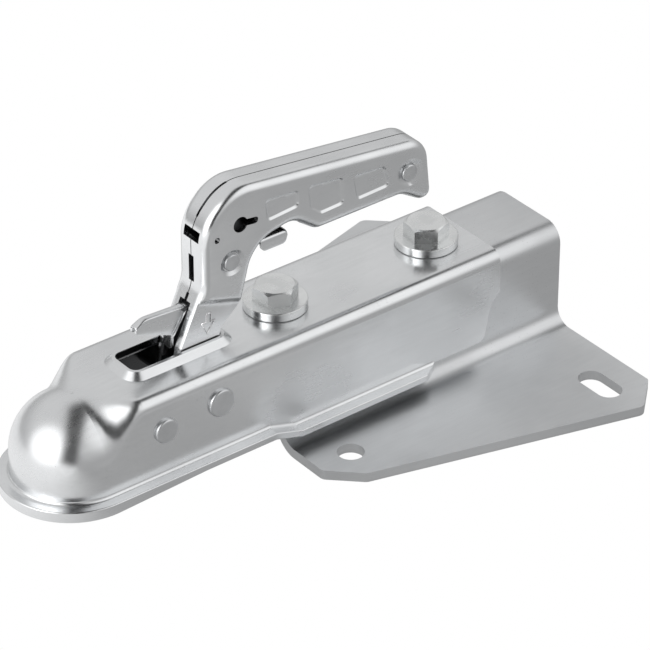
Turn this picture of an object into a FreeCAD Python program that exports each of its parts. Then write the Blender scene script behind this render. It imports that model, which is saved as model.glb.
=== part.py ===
import FreeCAD, Part
import Sketcher
import math
import os

# Trailer coupling head for a 50 mm ball, on a hat-section delta bracket.
# Origin: centre of the tow ball. +X runs back to the trailer, +Z up, -Y is the left side.

SIZES = {
    # tow ball and pressed housing
    "ball_radius": 25.0,
    "cup_play": 0.5,
    "sheet": 3.5,
    "housing_top": 30.5,
    "bend_radius": 6.0,
    "shoulder_length": 20.5,
    "housing_rear": 227.5,
    "skirt_top": -4.0,
    "lip_width": 6.0,
    "lip_bend": 2.0,
    "lip_front_level": -11.4,
    "lip_rear_level": -16.0,
    "joggle_start": 89.5,
    "joggle_end": 104.5,
    "lip_end": 187.5,
    "lip_slant": 10.5,
    "rim_drop": 2.2,
    "rim_width": 3.2,
    "rim_fade": 50.0,
    "tail_edge_level": 9.0,
    "tail_waist": 222.2,
    "tail_waist_level": 3.0,
    "tail_foot": 218.0,
    "tail_foot_level": -15.6,
    # slot for the lever, with its drawn collar
    "slot_front": 29.0,
    "slot_rear": 79.5,
    "slot_half": 8.7,
    "slot_corner": 4.0,
    "collar_height": 3.0,
    "collar_crest": 1.6,
    "collar_slope": 3.2,
    # bolted joint with the bracket
    "bolt_front": 115.5,
    "bolt_pitch": 90.0,
    "bolt_radius": 6.0,
    "bolt_hole_play": 0.5,
    "bolt_length": 30.0,
    "hex_flats": 19.0,
    "head_height": 7.5,
    "nut_height": 10.8,
    "washer_radius": 15.3,
    "washer_thickness": 4.6,
    "lower_washer_radius": 12.0,
    "lower_washer_thickness": 2.5,
    "front_hex_turn": -25.0,
    "rear_hex_turn": 20.5,
    # hat-section bracket
    "plate": 5.0,
    "channel_half": 25.0,
    "channel_bend": 9.5,
    "flange_bend": 8.5,
    "bracket_foot": -31.0,
    "bracket_front": 100.3,
    "bracket_rear": 268.7,
    "flange_front_half": 54.7,
    "flange_cut": 115.2,
    "flange_cut_half": 69.1,
    "flange_wide": 251.9,
    "flange_wide_half": 106.6,
    "flange_rear_half": 91.0,
    "flange_corner": 4.5,
    "flange_hole": 120.0,
    "flange_hole_half": 50.9,
    "flange_hole_radius": 6.5,
    "flange_slot": 248.0,
    "flange_slot_inner": 73.7,
    "flange_slot_outer": 86.0,
    # rivets through the housing sides
    "lever_pin_place": 62.2,
    "lever_pin_level": 14.2,
    "lever_pin_radius": 5.0,
    "lever_pin_head": 7.0,
    "jaw_pin_place": 31.3,
    "jaw_pin_level": 11.9,
    "jaw_pin_radius": 4.0,
    "jaw_pin_head": 6.1,
    "pin_head_height": 1.9,
    "pin_play": 0.06,
    "fit_play": 0.03,
    "side_play": 0.3,
    "sleeve_wall": 1.5,
    # lever shells
    "lever_sheet": 2.5,
    "seam_gap": 0.5,
    "grip_half": 10.5,
    "base_half": 8.0,
    "grip_rounding": 4.0,
    "step_front_level": 54.6,
    "step_slope": 11.0,
    "step_drop": 3.5,
    "hub_front": 49.0,
    "hub_rear": 71.7,
    "hub_foot": 1.8,
    "heel_place": 78.6,
    "heel_level": 37.5,
    "back_low_place": 89.6,
    "back_low_level": 46.5,
    "throat_place": 97.3,
    "throat_level": 75.7,
    "hump_place": 116.5,
    "hump_level": 79.7,
    "grip_start": 132.5,
    "grip_underside": 70.0,
    "pommel_start": 183.0,
    "pommel_low": 194.0,
    "pommel_level": 62.4,
    "grip_end": 200.9,
    "grip_end_top": 197.6,
    "grip_end_level": 95.6,
    "bend_top_place": 84.4,
    "bend_top_level": 108.6,
    "bend_front_place": 68.2,
    "bend_front_level": 92.4,
    "neck_level": 68.5,
    "shin_place": 61.3,
    "shin_level": 53.5,
    "toe_place": 55.3,
    "toe_level": 34.0,
    # rivets and cut-outs of the lever
    "catch_rivet_place": 83.6,
    "catch_rivet_level": 71.1,
    "catch_rivet_radius": 3.0,
    "catch_rivet_head": 4.2,
    "dimple_depth": 1.2,
    "dimple_radius": 6.0,
    "grip_rivet_place": 186.5,
    "grip_rivet_level": 80.4,
    "grip_rivet_radius": 3.0,
    "grip_rivet_head": 4.3,
    "panel_depth": 0.9,
    "panel_corner": 2.5,
    "keyhole_radius": 3.2,
    "keyhole_tail": 1.4,
    "mouth_top_level": 57.0,
    "mouth_half": 3.8,
    # cam between the shells
    "cam_hub": 8.5,
    "cam_nose_reach": 22.7,
    "cam_nose_radius": 5.0,
    "cam_turn": 225.5,
    "cam_rivet_reach": 10.4,
    "cam_rivet_radius": 2.5,
    "cam_rivet_head": 3.4,
    "cam_play": 0.1,
    # jaw under the ball
    "jaw_play": 0.3,
    "jaw_half": 15.0,
    "jaw_hub": 8.0,
    "jaw_ear_inner": 9.0,
    "jaw_back": 41.0,
    "jaw_foot": -14.0,
    "jaw_notch_level": 6.0,
    # safety catch
    "catch_half": 3.2,
    "catch_sheet": 1.6,
    "flap_tip_place": 34.8,
    "flap_tip_level": 49.4,
    "flap_crown_place": 45.0,
    "flap_crown_level": 53.9,
    "flap_root_place": 61.0,
    "flap_root_level": 51.5,
    "flap_ridge_half": 1.5,
    "flap_foot_place": 49.4,
    "flap_foot_level": 42.4,
    "leg_level": 33.0,
    "leg_rear": 56.5,
    "arm_rear": 75.5,
    "arm_rear_level": 56.0,
    "catch_hub": 5.8,
    "trigger_start": 101.5,
    "trigger_end": 116.6,
    "trigger_top": 75.0,
    "trigger_skirt": 4.8,
    "trigger_half": 7.0,
    # springs
    "jaw_wire": 1.8,
    "catch_wire": 0.9,
}

doc = FreeCAD.newDocument("trailer_coupling_head")
sheet = doc.addObject("Spreadsheet::Sheet", "Sizes")
for row, (alias, number) in enumerate(SIZES.items(), start=1):
    sheet.set("A%d" % row, alias)
    sheet.set("B%d" % row, str(number))
    sheet.setAlias("B%d" % row, alias)
doc.recompute()


class Size:
    """A number in millimetres or degrees, together with the sheet expression that gives it."""

    def __init__(self, value, text):
        self.value = value
        self.text = text

    def __add__(self, other):
        other = as_size(other)
        return Size(self.value + other.value, "(%s + %s)" % (self.text, other.text))

    def __sub__(self, other):
        other = as_size(other)
        return Size(self.value - other.value, "(%s - %s)" % (self.text, other.text))

    def __mul__(self, other):
        other = as_size(other)
        return Size(self.value * other.value, "(%s * %s)" % (self.text, other.text))

    def __truediv__(self, other):
        other = as_size(other)
        return Size(self.value / other.value, "(%s / %s)" % (self.text, other.text))

    def __neg__(self):
        return as_size(0) - self


def as_size(number):
    if isinstance(number, Size):
        return number
    return Size(float(number), repr(float(number)))


class Named:
    """Gives each size of the sheet as an attribute."""

    def __getattr__(self, alias):
        return Size(SIZES[alias], "Sizes." + alias)


size = Named()
Vector = FreeCAD.Vector
UP = Vector(0, 0, 1)


def bind(thing, place, number):
    """Ties one property of an object to a sheet expression."""
    thing.setExpression(place, as_size(number).text)


def origin_plane(body, role):
    return [item for item in body.Origin.OriginFeatures if item.Role == role][0]


def sketch_in(body, name, plane, lift=0):
    """A sketch on one of the body's own origin planes, lifted along the plane's normal."""
    sketch = body.newObject("Sketcher::SketchObject", name)
    sketch.AttachmentSupport = (origin_plane(body, plane), [""])
    sketch.MapMode = "FlatFace"
    sketch.AttachmentOffset = FreeCAD.Placement(Vector(0, 0, as_size(lift).value), FreeCAD.Rotation())
    bind(sketch, "AttachmentOffset.Base.z", lift)
    return sketch


def free_sketch(name, normal):
    """A sketch of its own: in the XZ plane with its normal along -Y, or in the YZ plane along +X."""
    sketch = doc.addObject("Sketcher::SketchObject", name)
    turns = {"side": FreeCAD.Rotation(Vector(1, 0, 0), Vector(0, 0, 1), Vector(0, -1, 0), "XYZ"),
             "cross": FreeCAD.Rotation(Vector(0, 1, 0), Vector(0, 0, 1), Vector(1, 0, 0), "XYZ")}
    sketch.Placement = FreeCAD.Placement(Vector(), turns[normal])
    return sketch


def fixed(rules, point, x, y):
    """Rules that hold a point of the sketch at a place given by two sizes."""
    for kind, number in (("DistanceX", x), ("DistanceY", y)):
        rules.append((Sketcher.Constraint(kind, -1, 1, point[0], point[1], as_size(number).value), number))


def settle(sketch, rules):
    """Adds the rules to the sketch and ties each measured one to its sheet expression."""
    first = sketch.ConstraintCount
    sketch.addConstraint([rule for rule, number in rules])
    for index, (rule, number) in enumerate(rules):
        if isinstance(number, Size):
            sketch.setExpression("Constraints[%d]" % (first + index), number.text)


def outline(sketch, corners):
    """A closed outline of straight sides between corners (x, y, rounding), all tied to the sheet."""
    places = [Vector(as_size(x).value, as_size(y).value, 0) for x, y, rounding in corners]
    count = len(corners)
    ends = []
    arcs = []
    for index in range(count):
        here = places[index]
        before = (places[index - 1] - here).normalize()
        after = (places[(index + 1) % count] - here).normalize()
        rounding = as_size(corners[index][2]).value
        if not rounding:
            ends.append((here, here))
            arcs.append(None)
            continue
        half = before.getAngle(after) / 2
        reach = rounding / math.tan(half)
        first = here + before * reach
        last = here + after * reach
        middle = here + (before + after).normalize() * (rounding / math.sin(half))
        angles = [math.atan2(end.y - middle.y, end.x - middle.x) for end in (first, last)]
        leftwards = before.cross(after).z < 0
        if not leftwards:
            angles.reverse()
        ends.append((first, last))
        arcs.append((Part.ArcOfCircle(Part.Circle(middle, UP, rounding), *angles), leftwards))
    lines = [sketch.addGeometry(Part.LineSegment(ends[index][1], ends[(index + 1) % count][0]), False)
             for index in range(count)]
    rules = []
    for index, (x, y, rounding) in enumerate(corners):
        come = lines[index - 1]
        leave = lines[index]
        if arcs[index] is None:
            rules.append((Sketcher.Constraint("Coincident", come, 2, leave, 1), None))
            fixed(rules, (leave, 1), x, y)
            continue
        arc = sketch.addGeometry(arcs[index][0], False)
        start, stop = (1, 2) if arcs[index][1] else (2, 1)
        corner = sketch.addGeometry(Part.Point(places[index]), True)
        rules.append((Sketcher.Constraint("Tangent", come, 2, arc, start), None))
        rules.append((Sketcher.Constraint("Tangent", arc, stop, leave, 1), None))
        rules.append((Sketcher.Constraint("Radius", arc, as_size(rounding).value), rounding))
        rules.append((Sketcher.Constraint("PointOnObject", corner, 1, come), None))
        rules.append((Sketcher.Constraint("PointOnObject", corner, 1, leave), None))
        fixed(rules, (corner, 1), x, y)
    settle(sketch, rules)


def ring(sketch, x, y, radius):
    """A circle tied to the sheet."""
    centre = Vector(as_size(x).value, as_size(y).value, 0)
    circle = sketch.addGeometry(Part.Circle(centre, UP, as_size(radius).value), False)
    rules = [(Sketcher.Constraint("Radius", circle, as_size(radius).value), radius)]
    fixed(rules, (circle, 3), x, y)
    settle(sketch, rules)


def slot_outline(sketch, x, low, high, radius):
    """A straight slot along the sketch's second axis between two centres."""
    outline(sketch, [(x - radius, low - radius, radius * 0.999), (x + radius, low - radius, radius * 0.999),
                     (x + radius, high + radius, radius * 0.999), (x - radius, high + radius, radius * 0.999)])


def grow(body, kind, name, sketch, length=None, symmetric=False, reverse=False):
    """A pad or a pocket of a sketch; with no length it goes right through."""
    feature = body.newObject("PartDesign::" + kind, name)
    feature.Profile = sketch
    if symmetric:
        feature.SideType = "Symmetric"
    if length is None:
        feature.Type = "ThroughAll"
    else:
        feature.Length = as_size(length).value
        bind(feature, "Length", length)
    feature.Reversed = reverse
    return feature


def spin(body, kind, name, sketch, axis="V_Axis", angle=360):
    """A turned feature about one of the sketch's own axes."""
    feature = body.newObject("PartDesign::" + kind, name)
    feature.Profile = sketch
    feature.ReferenceAxis = (sketch, [axis])
    feature.Angle = angle
    feature.Midplane = angle < 360
    return feature


def loft(body, kind, name, sketches):
    feature = body.newObject("PartDesign::" + kind, name)
    feature.Profile = sketches[0]
    feature.Sections = sketches[1:]
    return feature


def new_body(name):
    body = doc.addObject("PartDesign::Body", name)
    body.Label = name
    return body


def edge_names(shape, test):
    """Names of the edges whose corner points all pass a test."""
    return ["Edge%d" % number for number, edge in enumerate(shape.Edges, start=1)
            if all(test(corner.Point) for corner in edge.Vertexes)]


def near(first, second):
    return abs(first - second) < 0.001


nodes = []

# Shared places, worked out from the sheet.
cup = size.ball_radius + size.cup_play
shell = cup + size.sheet
rim = shell + size.lip_width
bolt_places = {"front": size.bolt_front, "rear": size.bolt_front + size.bolt_pitch}
bolt_hole = size.bolt_radius + size.bolt_hole_play
channel_top = size.housing_top - size.sheet
flange_top = size.bracket_foot + size.plate


def coupling_body():
    """Pressed housing: half-ball nose, shoulder, box back, drawn collar and flared lip."""
    body = new_body("coupling_body")

    def box_section(name, place, inset, top, rounding, foot):
        half = shell - inset
        sketch = sketch_in(body, name, "YZ_Plane", place)
        outline(sketch, [(-half, foot, 0), (-half, top, rounding), (half, top, rounding), (half, foot, 0)])
        return sketch

    def nose_section(name, radius, foot):
        sketch = sketch_in(body, name, "XZ_Plane")
        r = as_size(radius)
        low = as_size(foot)
        floor = sketch.addGeometry(Part.LineSegment(Vector(0, low.value, 0), Vector(-r.value, low.value, 0)))
        wall = sketch.addGeometry(Part.LineSegment(Vector(-r.value, low.value, 0), Vector(-r.value, 0, 0)))
        arc = sketch.addGeometry(Part.ArcOfCircle(Part.Circle(Vector(), UP, r.value), math.pi / 2, math.pi))
        axis = sketch.addGeometry(Part.LineSegment(Vector(0, r.value, 0), Vector(0, low.value, 0)))
        rules = [(Sketcher.Constraint("Coincident", floor, 2, wall, 1), None),
                 (Sketcher.Constraint("Coincident", wall, 2, arc, 2), None),
                 (Sketcher.Constraint("Coincident", arc, 1, axis, 1), None),
                 (Sketcher.Constraint("Coincident", axis, 2, floor, 1), None)]
        fixed(rules, (floor, 1), 0, low)
        fixed(rules, (wall, 1), -r, low)
        fixed(rules, (arc, 2), -r, 0)
        fixed(rules, (arc, 1), 0, r)
        rules.append((Sketcher.Constraint("DistanceX", -1, 1, arc, 3, 0.0), None))
        settle(sketch, rules)
        return sketch

    def hull(kind, inset, foot, overrun):
        """The closed outer form, or with an inset the hollow inside it, from nose to tail."""
        cut = kind == "Cut"
        word = "inner_" if cut else "outer_"
        steps = 6
        sections = []
        for step in range(steps + 1):
            share = step / steps
            ease = share * share * (3 - 2 * share)
            top = shell + (size.housing_top - shell) * ease - inset
            full = shell * 0.998
            rounding = full + (size.bend_radius - full) * ease - inset
            sections.append(box_section(word + "shoulder_%d" % step, size.shoulder_length * share,
                                        inset, top, rounding, foot))
        nose = nose_section(word + "nose", shell - inset, foot)
        back = box_section(word + "back", size.shoulder_length, inset, size.housing_top - inset,
                           size.bend_radius - inset, foot)
        length = size.housing_rear - size.shoulder_length + overrun
        doc.recompute()
        if cut:
            loft(body, "SubtractiveLoft", "inner_shoulder", sections)
            spin(body, "Groove", "inner_nose_cut", nose, angle=180)
            grow(body, "Pocket", "inner_back_cut", back, length, reverse=True)
        else:
            grow(body, "Pad", "back_block", back, length)
            loft(body, "AdditiveLoft", "shoulder", sections)
            spin(body, "Revolution", "nose_dome", nose, angle=180)
        doc.recompute()

    hull("Add", as_size(0), size.skirt_top, as_size(0))
    hull("Cut", size.sheet, size.skirt_top - 1, as_size(1))

    # Lip: the foot of each wall is bent outwards. Its section is drawn on the left side.
    def lip_corners(level, drop=0):
        thick = size.sheet
        return [(-cup, size.skirt_top, 0), (-shell, size.skirt_top, 0), (-shell, level, size.lip_bend),
                (-rim, level, 0.7), (-rim, level - thick - drop, 0.7),
                (-rim + size.rim_width, level - thick - drop, 0),
                (-rim + size.rim_width + drop * 0.5, level - thick, 0),
                (-cup, level - thick, size.lip_bend + thick * 0.8)]

    def lip_section(name, place, level, drop):
        sketch = sketch_in(body, name, "YZ_Plane", place)
        outline(sketch, lip_corners(level, drop))
        return sketch

    nose_lip = sketch_in(body, "nose_lip", "XZ_Plane")
    outline(nose_lip, lip_corners(size.lip_front_level, size.rim_drop))
    spin(body, "Revolution", "lip_round_nose", nose_lip, angle=180)

    least_drop = as_size(0.2)
    stations = [("lip_0", as_size(0), size.lip_front_level, size.rim_drop),
                ("lip_1", size.rim_fade, size.lip_front_level, least_drop),
                ("lip_2", size.joggle_start, size.lip_front_level, least_drop),
                ("lip_3", size.joggle_end, size.lip_rear_level, least_drop),
                ("lip_4", size.lip_end, size.lip_rear_level, least_drop)]
    sides = []
    for number in range(len(stations) - 1):
        ends = [lip_section("%s_%s" % (stations[number + end][0], "ab"[end]), *stations[number + end][1:])
                for end in (0, 1)]
        sides.append(loft(body, "AdditiveLoft", "lip_side_%d" % number, ends))
        doc.recompute()

    # Skirt behind the lip: a plain wall down to the tail's foot.
    skirt = sketch_in(body, "tail_skirt", "XZ_Plane", cup)
    outline(skirt, [(size.lip_end, size.skirt_top, 0), (size.housing_rear, size.skirt_top, 0),
                    (size.housing_rear, size.tail_foot_level, 0), (size.lip_end, size.tail_foot_level, 0)])
    sides.append(grow(body, "Pad", "tail_skirt_pad", skirt, size.sheet))
    doc.recompute()
    mirror = body.newObject("PartDesign::Mirrored", "right_side")
    mirror.Originals = sides
    mirror.MirrorPlane = (origin_plane(body, "XZ_Plane"), [""])
    body.Tip = mirror
    doc.recompute()

    tail = sketch_in(body, "tail_outline", "XZ_Plane")
    beyond = size.housing_rear + 5
    outline(tail, [(beyond, size.tail_edge_level, 0), (size.housing_rear, size.tail_edge_level, 5),
                   (size.tail_waist, size.tail_waist_level, 8), (size.tail_foot, size.tail_foot_level, 4),
                   (size.lip_end + 1, size.tail_foot_level, 0), (size.lip_end + 1, size.bracket_foot, 0),
                   (beyond, size.bracket_foot, 0)])
    grow(body, "Pocket", "tail_cut", tail, symmetric=True)
    slant = sketch_in(body, "lip_slant", "XY_Plane", size.lip_rear_level - size.sheet - 1)
    inner_corner = shell + 0.2
    outer_corner = rim + 1
    for side in (-1, 1):
        outline(slant, [(size.lip_end, inner_corner * side, 0), (size.lip_end + 1, inner_corner * side, 0),
                        (size.lip_end + 1, outer_corner * side, 0),
                        (size.lip_end - size.lip_slant, outer_corner * side, 0)])
    grow(body, "Pocket", "lip_slant_cut", slant, size.sheet + size.lip_bend + 1, reverse=True)
    doc.recompute()

    # Drawn collar round the lever slot, hollow underneath.
    def collar_section(name, level, spread, rounding):
        sketch = sketch_in(body, name, "XY_Plane", level)
        outline(sketch, [(size.slot_front - spread, -size.slot_half - spread, rounding),
                         (size.slot_rear + spread, -size.slot_half - spread, rounding),
                         (size.slot_rear + spread, size.slot_half + spread, rounding),
                         (size.slot_front - spread, size.slot_half + spread, rounding)])
        return sketch

    crest = size.collar_crest
    foot = size.collar_crest + size.collar_slope
    collar_top = size.housing_top + size.collar_height
    loft(body, "AdditiveLoft", "collar",
         [collar_section("collar_foot", size.housing_top - 0.5, foot + 0.5, size.slot_corner + foot),
          collar_section("collar_crest", collar_top, crest, size.slot_corner + crest)])
    loft(body, "SubtractiveLoft", "collar_hollow",
         [collar_section("hollow_foot", channel_top - 0.5, size.collar_slope, size.slot_corner + size.collar_slope),
          collar_section("hollow_top", channel_top + size.collar_height, 0.05, size.slot_corner)])
    slot = collar_section("slot_hole", size.lever_pin_level + 8, 0, size.slot_corner)
    grow(body, "Pocket", "slot_cut", slot, size.housing_top, reverse=True)
    doc.recompute()

    holes = sketch_in(body, "bolt_holes", "XY_Plane", channel_top - 1)
    for place in bolt_places.values():
        ring(holes, place, 0, bolt_hole)
    grow(body, "Pocket", "bolt_hole_cut", holes, size.sheet + 3, reverse=True)
    pins = sketch_in(body, "pin_holes", "XZ_Plane")
    ring(pins, size.lever_pin_place, size.lever_pin_level, size.lever_pin_radius + size.fit_play)
    ring(pins, size.jaw_pin_place, size.jaw_pin_level, size.jaw_pin_radius + size.fit_play)
    grow(body, "Pocket", "pin_hole_cut", pins, symmetric=True)
    doc.recompute()
    nodes.append(body)


def mounting_bracket():
    """Folded hat section: a channel that fits inside the housing, with two delta flanges."""
    body = new_body("mounting_bracket")
    plate = size.plate
    half = size.channel_half
    wide = size.flange_wide_half + 4
    section = sketch_in(body, "hat_section", "YZ_Plane", size.bracket_front)
    outline(section, [(-wide, size.bracket_foot, 0), (-wide, flange_top, 0), (-half, flange_top, size.flange_bend),
                      (-half, channel_top, size.channel_bend), (half, channel_top, size.channel_bend),
                      (half, flange_top, size.flange_bend), (wide, flange_top, 0), (wide, size.bracket_foot, 0),
                      (half - plate, size.bracket_foot, size.flange_bend + plate),
                      (half - plate, channel_top - plate, size.channel_bend - plate),
                      (-half + plate, channel_top - plate, size.channel_bend - plate),
                      (-half + plate, size.bracket_foot, size.flange_bend + plate)])
    grow(body, "Pad", "hat", section, size.bracket_rear - size.bracket_front)
    doc.recompute()
    delta = sketch_in(body, "delta_outline", "XY_Plane", size.bracket_foot - 1)
    front = size.bracket_front
    rear = size.bracket_rear
    corner = size.flange_corner
    outline(delta, [(front, -size.flange_front_half, corner), (size.flange_cut, -size.flange_cut_half, corner),
                    (size.flange_wide, -size.flange_wide_half, corner), (rear, -size.flange_rear_half, 2),
                    (rear, size.flange_rear_half, 2), (size.flange_wide, size.flange_wide_half, corner),
                    (size.flange_cut, size.flange_cut_half, corner), (front, size.flange_front_half, corner)])
    outline(delta, [(front - 5, -wide - 1, 0), (rear + 5, -wide - 1, 0), (rear + 5, wide + 1, 0),
                    (front - 5, wide + 1, 0)])
    grow(body, "Pocket", "delta_cut", delta, plate + 3, reverse=True)
    holes = sketch_in(body, "flange_holes", "XY_Plane", size.bracket_foot - 1)
    for side in (-1, 1):
        ring(holes, size.flange_hole, size.flange_hole_half * side, size.flange_hole_radius)
        middles = [size.flange_slot_inner * side, size.flange_slot_outer * side]
        low, high = middles if side > 0 else middles[::-1]
        slot_outline(holes, size.flange_slot, low, high, size.flange_hole_radius)
    grow(body, "Pocket", "flange_hole_cut", holes, plate + 3, reverse=True)
    bolts = sketch_in(body, "bolt_holes", "XY_Plane", channel_top - plate - 1)
    for place in bolt_places.values():
        ring(bolts, place, 0, bolt_hole)
    grow(body, "Pocket", "bolt_hole_cut", bolts, plate + 3, reverse=True)
    doc.recompute()
    nodes.append(body)


def turned(name, plane, corners, place=0, level=0):
    """A piece turned about its own axis: along Z when drawn in XZ_Plane, along Y when in XY_Plane."""
    body = new_body(name)
    profile = sketch_in(body, name + "_profile", plane)
    outline(profile, corners)
    spin(body, "Revolution", name + "_turned", profile)
    bind(body, "Placement.Base.x", place)
    bind(body, "Placement.Base.z", level)
    nodes.append(body)
    return body


def rivet(name, place, level, radius, head, reach, height):
    """A rivet across the part: its heads seat at the reach on both sides."""
    low = as_size(0) - reach
    dome = height * 0.6
    turned(name, "XY_Plane",
           [(0, low - height, 0), (head, low - height, dome), (head, low, 0), (radius, low, 0),
            (radius, reach, 0), (head, reach, 0), (head, reach + height, dome), (0, reach + height, 0)],
           place, level)


def sleeve(name, place, level, bore, outside, start, end):
    turned(name, "XY_Plane", [(bore, start, 0), (outside, start, 0), (outside, end, 0), (bore, end, 0)],
           place, level)


def hex_corners():
    """Corners of the hexagon, from its width across flats."""
    radius = size.hex_flats / 2 / math.cos(math.pi / 6)
    return [(radius * math.cos(math.pi / 3 * turn), radius * math.sin(math.pi / 3 * turn), 0)
            for turn in range(6)]


def hex_bevel(body, name, level, direction):
    """Takes the corners off a hexagon end with a 30 degree cone."""
    sketch = sketch_in(body, name, "XZ_Plane")
    inner = size.hex_flats * 0.475
    outer = size.hex_flats * 0.62
    drop = (outer - inner) * math.tan(math.pi / 6)
    outline(sketch, [(inner, level, 0), (outer, level, 0), (outer, level - drop * direction, 0)])
    spin(body, "Groove", name + "_cut", sketch)


def hex_bolt(name, place, turn):
    """Hexagon bolt with a round shank, head up."""
    body = new_body(name)
    seat = size.housing_top + size.washer_thickness
    head = sketch_in(body, name + "_head", "XY_Plane", seat)
    outline(head, hex_corners())
    grow(body, "Pad", name + "_head_pad", head, size.head_height)
    doc.recompute()
    hex_bevel(body, name + "_bevel", seat + size.head_height, 1)
    shank = sketch_in(body, name + "_shank", "XY_Plane", seat - size.bolt_length)
    ring(shank, 0, 0, size.bolt_radius)
    grow(body, "Pad", name + "_shank_pad", shank, size.bolt_length)
    body.Placement = FreeCAD.Placement(Vector(), FreeCAD.Rotation(UP, 0))
    bind(body, "Placement.Base.x", place)
    bind(body, "Placement.Rotation.Angle", turn)
    nodes.append(body)


def hex_nut(name, place, turn):
    body = new_body(name)
    top = channel_top - size.plate - size.lower_washer_thickness
    block = sketch_in(body, name + "_block", "XY_Plane", top - size.nut_height)
    outline(block, hex_corners())
    ring(block, 0, 0, size.bolt_radius + size.fit_play)
    grow(body, "Pad", name + "_pad", block, size.nut_height)
    doc.recompute()
    hex_bevel(body, name + "_bevel", top - size.nut_height, -1)
    body.Placement = FreeCAD.Placement(Vector(), FreeCAD.Rotation(UP, 0))
    bind(body, "Placement.Base.x", place)
    bind(body, "Placement.Rotation.Angle", turn)
    nodes.append(body)


def bolted_joints():
    """Two bolts, each with a thick washer on top and a thin washer and a nut inside the channel."""
    turns = {"front": size.front_hex_turn, "rear": size.rear_hex_turn}
    for end, place in bolt_places.items():
        hex_bolt(end + "_bolt", place, turns[end])
        bore = size.bolt_radius + size.bolt_hole_play * 0.5
        low = size.housing_top
        high = size.housing_top + size.washer_thickness
        turned(end + "_washer", "XZ_Plane",
               [(bore, low, 0), (size.washer_radius, low, 0.6), (size.washer_radius, high, 0.6), (bore, high, 0)],
               place)
        high = channel_top - size.plate
        low = high - size.lower_washer_thickness
        turned(end + "_lower_washer", "XZ_Plane",
               [(bore, low, 0), (size.lower_washer_radius, low, 0), (size.lower_washer_radius, high, 0),
                (bore, high, 0)], place)
        hex_nut(end + "_nut", place, turns[end])


def side_pins():
    """Rivets through the housing sides, with the sleeves that keep the lever and the jaw in the middle."""
    rivet("lever_pivot_pin", size.lever_pin_place, size.lever_pin_level, size.lever_pin_radius,
          size.lever_pin_head, shell, size.pin_head_height)
    rivet("jaw_pivot_pin", size.jaw_pin_place, size.jaw_pin_level, size.jaw_pin_radius,
          size.jaw_pin_head, shell, size.pin_head_height)
    stations = (("lever_spacer", size.lever_pin_place, size.lever_pin_level, size.lever_pin_radius, size.base_half),
                ("jaw_spacer", size.jaw_pin_place, size.jaw_pin_level, size.jaw_pin_radius, size.jaw_half))
    for name, place, level, radius, inside in stations:
        bore = radius + size.pin_play
        start = inside + size.side_play
        end = cup - size.side_play
        sleeve(name + "_left", place, level, bore, bore + size.sleeve_wall, -end, -start)
        sleeve(name + "_right", place, level, bore, bore + size.sleeve_wall, start, end)


def lever_corners():
    """Outer outline of the lever seen from the side, from the hub round the grip and back."""
    return [(size.hub_front, size.hub_foot, 6), (size.hub_rear, size.hub_foot + 2, 9),
            (size.heel_place, size.heel_level, 4), (size.back_low_place, size.back_low_level, 3),
            (size.throat_place, size.throat_level, 18), (size.hump_place, size.hump_level, 8),
            (size.grip_start, size.grip_underside, 6), (size.pommel_start, size.grip_underside, 10),
            (size.pommel_low, size.pommel_level, 3), (size.grip_end, size.pommel_level, 4.5),
            (size.grip_end_top, size.grip_end_level, 8), (size.bend_top_place, size.bend_top_level, 22),
            (size.bend_front_place, size.bend_front_level, 24), (size.bend_front_place, size.neck_level, 12),
            (size.shin_place, size.shin_level, 15), (size.toe_place, size.toe_level, 8)]


def extrude(name, base, length, symmetric=False):
    thing = doc.addObject("Part::Extrusion", name)
    thing.Base = base
    thing.DirMode = "Normal"
    thing.Solid = True
    thing.Symmetric = symmetric
    bind(thing, "LengthFwd", length)
    return thing


def cut(name, base, tool):
    thing = doc.addObject("Part::Cut", name)
    thing.Base = base
    thing.Tool = tool
    doc.recompute()
    return thing


def fuse(name, pieces):
    thing = doc.addObject("Part::MultiFuse", name)
    thing.Shapes = pieces
    thing.Refine = True
    doc.recompute()
    return thing


def side_plate(name, corners, start, length):
    """A plate drawn from the side, from a distance left of the middle outwards to the left."""
    sketch = free_sketch(name + "_outline", "side")
    outline(sketch, corners)
    bind(sketch, "Placement.Base.y", -as_size(start))
    return extrude(name, sketch, length)


def side_holes(name, draw, start, length):
    sketch = free_sketch(name + "_outline", "side")
    draw(sketch)
    bind(sketch, "Placement.Base.y", -as_size(start))
    return extrude(name, sketch, length)


def rounded(name, base, level, radius):
    """Rounds the edges that lie all round at one distance left of the middle."""
    doc.recompute()
    thing = doc.addObject("Part::Fillet", name)
    thing.Base = base
    depth = -as_size(level).value
    rim_edges = [number for number, edge in enumerate(base.Shape.Edges, start=1)
                 if all(near(corner.Point.y, depth) for corner in edge.Vertexes)]
    thing.Edges = [(number, as_size(radius).value, as_size(radius).value) for number in rim_edges]
    doc.recompute()
    return thing


def step_wedge(name, half):
    """What lies outside the narrower base, below the sloping step in the lever's side."""
    sketch = free_sketch(name + "_outline", "cross")
    outline(sketch, [(-half, -60, 0), (-half, -size.step_drop, 0), (-half - 3, 0, 0), (-30, 0, 0), (-30, -60, 0)])
    thing = extrude(name, sketch, 80)
    tilt = FreeCAD.Rotation(Vector(0, 1, 0), size.step_slope.value)
    sketch.Placement = FreeCAD.Placement(Vector(), tilt.multiply(sketch.Placement.Rotation))
    bind(sketch, "Placement.Base.x", size.shin_place - 20)
    bind(sketch, "Placement.Base.z", size.step_front_level + 20 * math.tan(math.radians(size.step_slope.value)))
    return thing


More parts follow.
